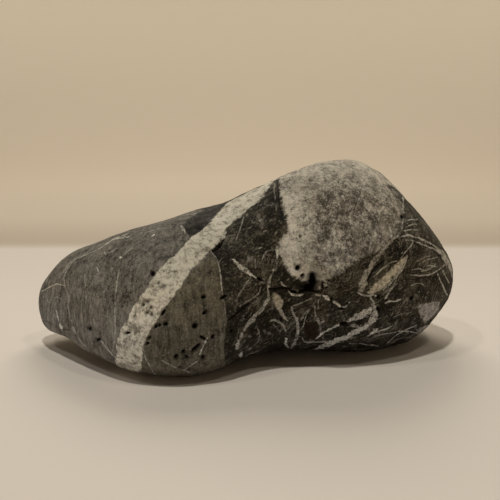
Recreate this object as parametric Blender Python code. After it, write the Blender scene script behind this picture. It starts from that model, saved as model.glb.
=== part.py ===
"""River pebble: one water-worn limestone, a long low lobe on the left and a high dome on the right.

Run with: blender --background --python part.py
Frame: metres. X runs along the stone from its pointed tip (-X) to its blunt end (+X), the veined
face looks towards -Y, and the stone rests on Z = 0.
"""
import math
from collections import namedtuple

import bmesh
import bpy
import numpy as np
from mathutils import Matrix, Vector
from mathutils.bvhtree import BVHTree

MM = 0.001

# ---- Driving dimensions, in millimetres ---------------------------------------------------------

LEFT_TIP_X = -55.6
RIGHT_END_X = 53.4

# Cross-sections along the stone. Each gives the four outermost points of one section: the front
# and the back (y, z), the top (y, z) and the underside (y, z). An underside below zero is worn
# flat on the ground plane.
Section = namedtuple("Section", "x front_y front_z back_y back_z top_y top_z under_y under_z")
SECTIONS = [
    Section(-55.6, 2.5, 9.4, 2.5, 9.4, 2.5, 9.4, 2.5, 9.4),
    Section(-52.0, -4.0, 10.6, 10.5, 11.5, 3.0, 18.5, 1.0, 4.4),
    Section(-46.0, -10.5, 12.0, 16.5, 14.0, 3.5, 23.5, 1.0, 3.5),
    Section(-38.0, -18.0, 12.0, 21.5, 15.5, 3.5, 27.2, -1.0, 0.9),
    Section(-29.0, -24.5, 12.0, 25.5, 16.5, 3.5, 30.7, -2.0, -1.8),
    Section(-18.0, -28.2, 12.0, 28.0, 17.5, 3.0, 34.1, -4.0, -2.7),
    Section(-8.0, -26.4, 13.0, 29.5, 18.5, 3.0, 37.0, -3.0, -2.6),
    Section(-3.0, -24.0, 14.2, 29.8, 19.2, 3.4, 39.2, -1.5, 0.2),
    Section(2.0, -21.0, 15.5, 30.0, 20.0, 4.0, 41.9, 0.0, 0.0),
    Section(12.0, -18.2, 18.5, 30.5, 21.0, 6.0, 48.0, 2.0, -0.1),
    Section(22.0, -17.0, 19.0, 30.0, 21.0, 7.5, 50.0, 3.0, -0.9),
    Section(31.0, -15.0, 18.0, 28.5, 20.5, 8.0, 46.5, 4.5, -2.3),
    Section(39.0, -11.5, 17.0, 25.5, 19.5, 8.0, 41.6, 6.0, -0.9),
    Section(46.0, -5.5, 17.0, 21.0, 18.5, 8.0, 34.8, 7.0, 3.9),
    Section(51.0, 0.5, 17.5, 15.0, 17.5, 8.0, 27.2, 7.5, 11.2),
    Section(53.4, 8.0, 17.0, 8.0, 17.0, 8.0, 17.0, 8.0, 17.0),
]
UPPER_SQUARENESS = 2.2
LOWER_SQUARENESS = 2.8

# Faces that tumbling has ground flatter: a point on the face, its outward direction and how
# softly the round form runs into it.
WornFace = namedtuple("WornFace", "name point outward softness")
WORN_FACES = [
    WornFace("left_tip_face", (-49.0, -6.0, 12.0), (-0.80, -0.58, 0.10), 1.6),
    WornFace("upper_left_face", (-30.0, 12.0, 28.5), (-0.26, 0.35, 0.90), 1.8),
    WornFace("right_flank", (45.0, 3.0, 31.5), (0.74, -0.12, 0.66), 1.8),
    WornFace("right_underside", (34.0, -10.0, 5.0), (0.30, -0.62, -0.72), 1.8),
    WornFace("back_high_face", (22.0, 25.0, 34.0), (0.10, 0.80, 0.58), 2.2),
    WornFace("back_low_face", (-10.0, 26.0, 7.0), (-0.05, 0.74, -0.67), 2.0),
    WornFace("back_left_face", (-38.0, 20.0, 12.0), (-0.48, 0.86, -0.14), 2.0),
]

# The ledge under the dome: a step along the front, deepest in the middle, where softer rock
# below the dome has been washed back.
LEDGE_LINE = [(-2.0, 20.5), (4.0, 20.0), (9.0, 19.0), (15.5, 19.2), (22.0, 14.8), (28.0, 16.5)]
LEDGE_DEPTH = 1.5
LEDGE_EDGE = 1.3
LEDGE_REACH_DOWN = 9.0

# Long, shallow swells that keep the worn faces from being perfectly even.
SWELL_HEIGHT = 0.3
SWELL_LENGTH = 21.0

# Broad bulges (+) and hollows (-) of the front: x and z of the middle, reach and height.
Swell = namedtuple("Swell", "name x z reach height")
FRONT_SWELLS = [
    Swell("dome", 21.0, 33.0, 13.0, 1.3),
    Swell("waist", 1.0, 24.0, 10.0, -1.5),
    Swell("waist_foot", 8.0, 8.0, 9.0, -1.2),
    Swell("belly", -19.0, 12.0, 14.0, 0.5),
    Swell("flank_hollow", 37.0, 22.0, 8.0, -0.6),
]

# Solution pits: x and z of the mouth on the front, its width and length, and the lean of its
# length from upright, in degrees.
Pit = namedtuple("Pit", "x z width length lean")
FRONT_PITS = [
    Pit(-37.0, 10.0, 1.0, 1.2, 0),
    Pit(-34.5, 8.0, 0.9, 1.4, 70),
    Pit(-26.5, 11.5, 0.9, 2.2, 80),
    Pit(-22.5, 9.5, 1.0, 1.4, 80),
    Pit(-22.0, 11.5, 1.0, 1.6, 40),
    Pit(-22.0, 19.0, 1.1, 1.3, 0),
    Pit(-21.5, 16.5, 0.9, 1.6, 60),
    Pit(-21.5, 24.5, 1.1, 1.5, 0),
    Pit(-20.0, 14.0, 0.9, 2.0, 90),
    Pit(-20.0, 22.5, 0.9, 1.1, 0),
    Pit(-18.5, 17.0, 1.2, 2.6, 30),
    Pit(-18.0, 14.5, 1.2, 1.5, 90),
    Pit(-16.0, 7.0, 1.2, 1.8, 50),
    Pit(-14.5, 8.8, 1.1, 1.5, 40),
    Pit(-13.8, 6.3, 1.0, 1.7, -60),
    Pit(-12.0, 14.0, 1.7, 1.8, 0),
    Pit(-11.9, 8.6, 1.3, 3.0, 50),
    Pit(-10.4, 6.0, 1.3, 1.8, 0),
    Pit(-10.2, 11.0, 1.2, 2.6, -60),
    Pit(-10.0, 20.0, 1.1, 1.5, 60),
    Pit(-9.6, 16.5, 1.0, 1.6, 50),
    Pit(-7.9, 11.0, 1.0, 1.7, 40),
    Pit(-7.8, 29.4, 1.4, 2.0, 50),
    Pit(-5.8, 19.2, 1.2, 2.6, 60),
    Pit(2.2, 22.1, 0.9, 2.0, -60),
    Pit(10.6, 24.4, 1.6, 1.7, 0),
    Pit(11.7, 22.4, 1.1, 1.3, 0),
    Pit(22.1, 10.2, 1.3, 2.4, 80),
    Pit(36.2, 34.8, 1.3, 1.5, 0),
    Pit(38.3, 15.6, 1.1, 1.3, 0),
]
BACK_PITS = [
    Pit(-24.0, 14.0, 1.4, 1.9, 20),
    Pit(-21.5, 12.0, 1.2, 1.2, 0),
    Pit(-18.0, 18.0, 1.1, 1.7, -50),
    Pit(-4.0, 22.5, 1.3, 1.8, -40),
    Pit(18.0, 30.0, 1.6, 2.0, 65),
    Pit(21.5, 28.5, 1.1, 1.3, 0),
    Pit(31.0, 14.0, 1.4, 1.4, 0),
]
PIT_DEPTH_SHARE = 0.75
PIT_SIDES = 8
PIT_RINGS = 4

# The crevice where the ledge bites deepest under the dome: overlapping hollows, each with the
# x and z of its middle, its half-sizes across, into the stone and upright, and its lean.
Hollow = namedtuple("Hollow", "x z across inward upright lean")
CREVICE = [
    Hollow(14.0, 21.3, 1.3, 2.4, 2.6, 15),
    Hollow(12.0, 19.7, 0.8, 1.4, 1.7, 65),
    Hollow(16.2, 20.1, 0.9, 1.4, 1.6, -50),
]
CREVICE_SIDES = 12
CREVICE_RINGS = 6

# Mesh of the stone: cells along X, Y and Z.
CELLS_X = 34
CELLS_Y = 18
CELLS_Z = 18

STONE_COLOUR = (0.095, 0.086, 0.068)
STONE_ROUGHNESS = 0.78


# ---- Form ---------------------------------------------------------------------------------------

def clear_scene():
    """Remove every object that the file starts with."""
    for obj in list(bpy.data.objects):
        bpy.data.objects.remove(obj, do_unlink=True)


def length_angle(x):
    """Angle along the stone, 0 at the left tip and pi at the right end, so that ends come round."""
    middle = 0.5 * (LEFT_TIP_X + RIGHT_END_X)
    half = 0.5 * (RIGHT_END_X - LEFT_TIP_X)
    return np.arccos(np.clip(-(x - middle) / half, -1.0, 1.0))


def smooth_curve(knots, values, at):
    """Cubic curve through values at knots whose slope at each knot follows its neighbours."""
    steps = np.diff(knots)
    rises = np.diff(values) / steps
    slopes = np.empty_like(values)
    slopes[0] = rises[0]
    slopes[-1] = rises[-1]
    slopes[1:-1] = (rises[:-1] * steps[1:] + rises[1:] * steps[:-1]) / (steps[:-1] + steps[1:])
    cell = np.clip(np.searchsorted(knots, at) - 1, 0, len(steps) - 1)
    t = (at - knots[cell]) / steps[cell]
    start = values[cell] + steps[cell] * slopes[cell] * t * (1 - t) ** 2
    end = -steps[cell] * slopes[cell + 1] * t ** 2 * (1 - t)
    return start + (values[cell + 1] - values[cell]) * t ** 2 * (3 - 2 * t) + end


def section_values(x):
    """The eight outermost section coordinates at each x, as a dictionary of arrays."""
    at = length_angle(x)
    knots = length_angle(np.array([section.x for section in SECTIONS]))
    names = Section._fields[1:]
    table = {name: np.array([getattr(section, name) for section in SECTIONS]) for name in names}
    return {name: smooth_curve(knots, table[name], at) for name in names}


def lofted_points(directions):
    """Points on the lofted form for unit directions from its middle."""
    middle = 0.5 * (LEFT_TIP_X + RIGHT_END_X)
    half = 0.5 * (RIGHT_END_X - LEFT_TIP_X)
    x = middle + half * directions[:, 0]
    at = section_values(x)
    around = np.arctan2(directions[:, 2], directions[:, 1])
    power = 2.0 / np.where(around >= 0, UPPER_SQUARENESS, LOWER_SQUARENESS)
    across = np.sign(np.cos(around)) * np.abs(np.cos(around)) ** power
    upward = np.sign(np.sin(around)) * np.abs(np.sin(around)) ** power
    is_back = across >= 0
    is_top = upward >= 0
    middle_y = np.where(is_top, at["top_y"], at["under_y"])
    middle_z = np.where(is_back, at["back_z"], at["front_z"])
    reach_y = np.where(is_back, at["back_y"] - middle_y, middle_y - at["front_y"])
    reach_z = np.where(is_top, at["top_z"] - middle_z, middle_z - at["under_z"])
    return np.stack([x, middle_y + reach_y * across, middle_z + reach_z * upward], axis=1)


def grind_faces(points):
    """Press the points that stand proud of each worn face back towards it."""
    for face in WORN_FACES:
        outward = np.array(face.outward) / np.linalg.norm(face.outward)
        proud = (points - np.array(face.point)) @ outward
        pressed = face.softness * np.logaddexp(0.0, proud / face.softness)
        points = points - np.outer(pressed, outward)
    return points


def cut_ledge(points, inward):
    """Wash back the front below the ledge line."""
    line_x = np.array([x for x, z in LEDGE_LINE])
    line_z = np.array([z for x, z in LEDGE_LINE])
    below = np.interp(points[:, 0], line_x, line_z) - points[:, 2]
    along = (points[:, 0] - line_x[0]) / (line_x[-1] - line_x[0])
    fade_along = np.sin(math.pi * np.clip(along, 0.0, 1.0)) ** 0.7
    fade_down = np.exp(-np.clip(below, 0.0, None) / LEDGE_REACH_DOWN)
    step = 1.0 / (1.0 + np.exp(-4.0 * below / LEDGE_EDGE))
    on_front = points[:, 1] < 0.0
    return points + inward * (LEDGE_DEPTH * step * fade_down * fade_along * on_front)[:, None]


def swell(points, outward):
    """Add the front's bulges and hollows, and the long, shallow swells."""
    on_front = 1.0 / (1.0 + np.exp(points[:, 1] / 3.0))
    for lump in FRONT_SWELLS:
        away = np.hypot(points[:, 0] - lump.x, points[:, 2] - lump.z) / lump.reach
        points = points + outward * (lump.height * np.exp(-away ** 2) * on_front)[:, None]
    k = 2.0 * math.pi / SWELL_LENGTH
    x, y, z = points.T
    wave = np.sin(k * (x + 0.6 * y) + 1.3) * np.cos(k * (z - 0.5 * y) + 0.4)
    wave += 0.6 * np.sin(1.7 * k * (z + 0.4 * x) + 2.1) * np.cos(1.5 * k * (y - 0.3 * x) + 0.9)
    return points + outward * (SWELL_HEIGHT * wave)[:, None]


def stone_points(directions):
    """Points on the finished form, worn flat on the ground plane, in metres."""
    points = lofted_points(directions)
    at = section_values(points[:, 0])
    axis_y = 0.25 * (at["front_y"] + at["back_y"] + at["top_y"] + at["under_y"])
    axis_z = 0.25 * (at["front_z"] + at["back_z"] + at["top_z"] + at["under_z"])
    outward = points - np.stack([points[:, 0], axis_y, axis_z], axis=1)
    outward[:, 0] = 0.3 * (points[:, 0] - 0.5 * (LEFT_TIP_X + RIGHT_END_X))
    outward /= np.linalg.norm(outward, axis=1)[:, None]
    points = grind_faces(points)
    points = cut_ledge(points, -outward)
    points = swell(points, outward)
    points[:, 2] = np.maximum(points[:, 2], 0.0)
    return points * MM


# ---- Meshes -------------------------------------------------------------------------------------

def stone_mesh():
    """A box of even cells, rounded to a ball and moved onto the stone's form."""
    bm = bmesh.new()
    corners = {}

    def corner(i, j, k):
        """The vertex at cell corner i, j, k of the box, made once."""
        if (i, j, k) not in corners:
            share = (i / CELLS_X, j / CELLS_Y, k / CELLS_Z)
            corners[(i, j, k)] = bm.verts.new([math.tan((2 * s - 1) * math.pi / 4) for s in share])
        return corners[(i, j, k)]

    for i in range(CELLS_X):
        for j in range(CELLS_Y):
            bm.faces.new([corner(i, j, 0), corner(i, j + 1, 0), corner(i + 1, j + 1, 0), corner(i + 1, j, 0)])
            bm.faces.new([corner(i, j, CELLS_Z), corner(i + 1, j, CELLS_Z),
                          corner(i + 1, j + 1, CELLS_Z), corner(i, j + 1, CELLS_Z)])
    for i in range(CELLS_X):
        for k in range(CELLS_Z):
            bm.faces.new([corner(i, 0, k), corner(i + 1, 0, k), corner(i + 1, 0, k + 1), corner(i, 0, k + 1)])
            bm.faces.new([corner(i, CELLS_Y, k), corner(i, CELLS_Y, k + 1),
                          corner(i + 1, CELLS_Y, k + 1), corner(i + 1, CELLS_Y, k)])
    for j in range(CELLS_Y):
        for k in range(CELLS_Z):
            bm.faces.new([corner(0, j, k), corner(0, j, k + 1), corner(0, j + 1, k + 1), corner(0, j + 1, k)])
            bm.faces.new([corner(CELLS_X, j, k), corner(CELLS_X, j + 1, k),
                          corner(CELLS_X, j + 1, k + 1), corner(CELLS_X, j, k + 1)])

    directions = np.array([v.co.normalized() for v in bm.verts])
    for vert, place in zip(bm.verts, stone_points(directions)):
        vert.co = place
    bmesh.ops.triangulate(bm, faces=bm.faces)
    mesh = bpy.data.meshes.new("pebble")
    bm.to_mesh(mesh)
    bm.free()
    mesh.shade_smooth()
    return mesh


def surface_hit(tree, x, z, side):
    """The point and outward normal where a line along Y meets the front (-1) or back (1)."""
    start = Vector((x * MM, side * 0.2, z * MM))
    place, normal, _index, _distance = tree.ray_cast(start, Vector((0.0, -side, 0.0)))
    return place, normal


def add_ellipsoid(bm, place, outward, half_sizes, lean, sides, rings):
    """Add an ellipsoid with half-sizes across, along its leaning length and outward."""
    along = Vector((math.sin(math.radians(lean)), 0.0, math.cos(math.radians(lean))))
    along = (along - outward * along.dot(outward)).normalized()
    across = along.cross(outward)
    turn = Matrix((across, along, outward)).transposed().to_4x4()
    size = Matrix.Diagonal([half * MM for half in half_sizes]).to_4x4()
    bmesh.ops.create_uvsphere(bm, u_segments=sides, v_segments=rings, radius=1.0,
                              matrix=Matrix.Translation(place) @ turn @ size)


def cut_away(stone, name, bm):
    """Cut one mesh out of the stone, and keep it as a wire cutter that moves with the stone."""
    mesh = bpy.data.meshes.new(name)
    bm.to_mesh(mesh)
    bm.free()
    cutter = bpy.data.objects.new(name, mesh)
    bpy.context.scene.collection.objects.link(cutter)
    cutter.parent = stone
    cutter.hide_render = True
    cutter.display_type = 'WIRE'
    cut = stone.modifiers.new(name, 'BOOLEAN')
    cut.operation = 'DIFFERENCE'
    cut.solver = 'EXACT'
    cut.object = cutter


def cut_pits(stone, tree):
    """Cut all the pits."""
    bm = bmesh.new()
    for side, pits in ((-1, FRONT_PITS), (1, BACK_PITS)):
        for pit in pits:
            place, outward = surface_hit(tree, pit.x, pit.z, side)
            half_sizes = (pit.width / 2, pit.length / 2, PIT_DEPTH_SHARE * pit.width)
            add_ellipsoid(bm, place, outward, half_sizes, pit.lean, PIT_SIDES, PIT_RINGS)
    cut_away(stone, "pit_cutter", bm)


def cut_crevice(stone, tree):
    """Cut the crevice's hollows one after another, because they overlap."""
    for number, hollow in enumerate(CREVICE, start=1):
        bm = bmesh.new()
        place, outward = surface_hit(tree, hollow.x, hollow.z, -1)
        half_sizes = (hollow.across, hollow.upright, hollow.inward)
        add_ellipsoid(bm, place, outward, half_sizes, hollow.lean, CREVICE_SIDES, CREVICE_RINGS)
        cut_away(stone, f"crevice_cutter_{number}", bm)


# ---- Material and assembly ----------------------------------------------------------------------

def stone_material():
    """Dry, worn grey limestone."""
    material = bpy.data.materials.new("worn_limestone")
    material.use_nodes = True
    shader = material.node_tree.nodes["Principled BSDF"]
    shader.inputs["Base Color"].default_value = (*STONE_COLOUR, 1.0)
    shader.inputs["Roughness"].default_value = STONE_ROUGHNESS
    shader.inputs["Metallic"].default_value = 0.0
    return material


def build():
    """Make the pebble, centre it over the origin and cut its pits and crevice."""
    clear_scene()
    mesh = stone_mesh()
    mesh.materials.append(stone_material())
    stone = bpy.data.objects.new("pebble", mesh)
    bpy.context.scene.collection.objects.link(stone)
    corners = [vert.co.copy() for vert in mesh.vertices]
    xs = [corner.x for corner in corners]
    ys = [corner.y for corner in corners]
    stone.location = (-0.5 * (min(xs) + max(xs)), -0.5 * (min(ys) + max(ys)), 0.0)
    tree = BVHTree.FromPolygons(corners, [list(face.vertices) for face in mesh.polygons])
    cut_pits(stone, tree)
    cut_crevice(stone, tree)


build()
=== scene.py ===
"""The finish of the river pebble: its skin, veins, pits and rock, on a plain pale stage."""

import math
from collections import namedtuple

import bmesh
import bpy
import numpy as np
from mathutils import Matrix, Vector
from mathutils.bvhtree import BVHTree
from mathutils.noise import fractal


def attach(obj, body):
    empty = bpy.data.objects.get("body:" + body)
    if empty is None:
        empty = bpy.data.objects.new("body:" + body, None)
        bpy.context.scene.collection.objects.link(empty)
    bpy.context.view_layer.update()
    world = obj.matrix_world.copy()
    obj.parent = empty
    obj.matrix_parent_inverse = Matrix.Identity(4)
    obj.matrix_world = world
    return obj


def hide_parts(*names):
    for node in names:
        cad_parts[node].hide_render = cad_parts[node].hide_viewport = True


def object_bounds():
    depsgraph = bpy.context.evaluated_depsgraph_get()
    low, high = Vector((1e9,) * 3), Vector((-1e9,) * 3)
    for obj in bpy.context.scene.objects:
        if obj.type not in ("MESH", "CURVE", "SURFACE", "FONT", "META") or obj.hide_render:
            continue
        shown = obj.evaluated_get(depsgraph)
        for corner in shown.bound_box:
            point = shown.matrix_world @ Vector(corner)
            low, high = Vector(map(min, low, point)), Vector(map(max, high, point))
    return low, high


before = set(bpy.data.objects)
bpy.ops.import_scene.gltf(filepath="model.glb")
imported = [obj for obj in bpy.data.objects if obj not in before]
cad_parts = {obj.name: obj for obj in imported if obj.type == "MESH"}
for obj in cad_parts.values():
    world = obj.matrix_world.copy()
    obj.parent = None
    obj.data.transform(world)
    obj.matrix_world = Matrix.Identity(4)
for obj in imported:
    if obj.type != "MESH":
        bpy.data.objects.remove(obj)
CAD_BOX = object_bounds()

MM = 0.001
# Stands in for a length of nothing, where one is divided by.
TINY = 1e-6

# ---- Camera -------------------------------------------------------------------------------------

FRAME_PIXELS = 500
LENS_MM = 50.0
SENSOR_MM = 36.0
CLIP_START = 0.01
CLIP_END = 10.0
CAMERA_PITCH = math.radians(11.0)
CAMERA_DISTANCE_MM = 174.0
AIM_MM = np.array([0.87, -0.77, 25.0])
CAMERA_RIGHT = np.array([1.0, 0.0, 0.0])
CAMERA_UP = np.array([0.0, math.sin(CAMERA_PITCH), math.cos(CAMERA_PITCH)])
CAMERA_BACK = np.array([0.0, -math.cos(CAMERA_PITCH), math.sin(CAMERA_PITCH)])
CAMERA_MM = AIM_MM + CAMERA_BACK * CAMERA_DISTANCE_MM
FOCAL_PIXELS = LENS_MM / SENSOR_MM * FRAME_PIXELS
PIXELS_PER_MM = FOCAL_PIXELS / CAMERA_DISTANCE_MM

# ---- Markings of the front, in pixels of the 500 x 500 frame ------------------------------------
# Every marking is drawn on the camera's picture plane and thrown onto the front of the stone.

# The white band: its left and right edges, from the foot of the stone to the skyline.
BAND_LEFT_EDGE = [(117, 372), (116, 359), (116, 345), (120.5, 330), (131, 313), (140, 298), (152, 281),
                  (162, 265), (177, 254), (189, 239), (208, 225), (218, 212), (228, 202.5), (240, 192.5),
                  (250, 187), (262, 180), (275, 170)]
BAND_RIGHT_EDGE = [(140, 380), (140.5, 369), (141.6, 351), (146, 337), (153.5, 326), (160.5, 312),
                   (172, 298), (183, 282), (190, 271), (200, 261), (211, 249), (220, 241), (225.5, 230),
                   (231, 222.5), (242, 217), (251, 207.5), (261, 197.5), (270, 186), (280, 173)]
BAND_OUTLINE = BAND_LEFT_EDGE + BAND_RIGHT_EDGE[::-1]

# Dark broken rock: the wedge at the top left of the band, and everything right of the band.
DARK_OUTLINE = [(222, 190), (212, 205), (199, 212.5), (188, 219), (183.6, 226), (187, 233), (191, 239),
                (203, 252), (211, 250), (217, 261), (221, 274), (222.5, 290), (225, 310), (226, 328),
                (224, 345), (226, 372), (FRAME_PIXELS, 372), (FRAME_PIXELS, 100), (222, 100)]

# The wedge ends along a slanting line under the band, where x + slope * y passes from start to end.
WEDGE_SLOPE = 0.75
WEDGE_START = 386.0
WEDGE_END = 394.0
WEDGE_SHADE = 0.9
# How far inside the dark rock, and outside the band, it starts and is full.
WEDGE_IN_DARK = (-1.0, 1.5)
WEDGE_OFF_BAND = (0.8, -0.8)

# The pale grey dome, anticlockwise from the skyline beside the band. Its left rim is the stretch
# from there down to the crevice.
DOME_OUTLINE = [(276, 168), (279.5, 182), (282, 195), (285, 208), (287.5, 221), (286.5, 232), (282.5, 238),
                (280, 244), (280, 250), (281, 256), (283, 262), (286, 268), (290, 273), (296, 278.5),
                (304, 282), (317, 281), (330, 279), (339, 275), (345, 269), (353, 262.5), (365, 258),
                (376, 251.5), (386, 244.5), (393, 239.5), (400, 233), (405.5, 226), (405.5, 214),
                (402, 204), (396, 195), (389, 186), (383, 174), (378, 156), (340, 140), (290, 150)]
DOME_LEFT_RIM = DOME_OUTLINE[1:14]

# Darker (or, below 0, paler) clouds on the dome: middle, radius and share. A cloud is full over the
# core's share of its radius.
Cloud = namedtuple("Cloud", "x y radius share")
DOME_CLOUDS = [
    Cloud(379, 227, 17, 0.75),
    Cloud(338, 221, 17, 0.14),
    Cloud(322, 181, 15, -0.20),
    Cloud(322, 261, 12, 0.20),
]
CLOUD_CORE = 0.3

# Where the dome, the band and the grey rock get lighter (or, below 0, darker): how much x and y
# count, the sums where the change starts and is full, and its share.
Ramp = namedtuple("Ramp", "along start full share")
DOME_RAMPS = [
    Ramp((1, 0), 350, 392, 0.28),
    Ramp((0, 1), 200, 165, 0.80),
    Ramp((1, 1), 604, 624, -0.25),
    Ramp((0, 1), 235, 262, 0.14),
]
BAND_RAMPS = [Ramp((0, 1), 345, 262, 0.18), Ramp((0, 1), 262, 210, 0.12), Ramp((0, 1), 342, 362, -0.18)]
BAND_TONE = 0.82
GREY_RAMPS = [Ramp((0, 1), 340, 245, 1.0)]
# The dome is pale within this many pixels of its left rim, above this stretch of y.
RIM_FADE = (6.0, 38.0)
RIM_FOOT = (296.0, 270.0)
# Its upper left corner is dark: the y and x between which it starts and is full.
CORNER_Y = (198.0, 180.0)
CORNER_X = (306.0, 288.0)
CORNER_SHADE = 1.1
# The rock right of the band is olive, and less so at its foot.
OLIVE_FADE = (-2.0, 3.0)
OLIVE_FOOT = (322.0, 352.0)
OLIVE_FOOT_SHARE = 0.6
OLIVE_SHADE = 1.3

# Single clasts in the dark rock: outlines by kind.
CLASTS = {
    "speckled": [
        [(419.3, 304.3), (426.4, 303), (440.5, 302), (439, 309), (433.6, 316.5), (425, 323),
         (420.7, 317), (418, 308.6)],
        [(416, 329.5), (424, 326.5), (431.5, 324.5), (432, 329), (427, 332), (419, 333.5)],
        [(432, 230), (446, 250), (452, 266), (456, 262), (446, 238), (436, 222)],
    ],
    "rust": [
        [(303.5, 327), (307.5, 322.6), (314, 322.4), (318, 327.5), (318.2, 334), (314, 338.6),
         (308, 339), (304, 334)],
    ],
    "tan": [
        [(271.8, 292.8), (277, 293.4), (281, 297), (283, 303), (281.8, 308.5), (283.4, 314), (288, 321),
         (285.4, 321), (280.6, 315), (277, 309), (274.2, 303)],
        [(367.5, 293.4), (373.6, 285.7), (382, 278.6), (392, 268.6), (399.3, 261.4), (406.8, 255.7),
         (404, 264.3), (398, 273), (390.7, 281.4), (382, 289.4), (373.6, 294.3)],
    ],
}
CLAST_ABSENT = -20.0

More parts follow.
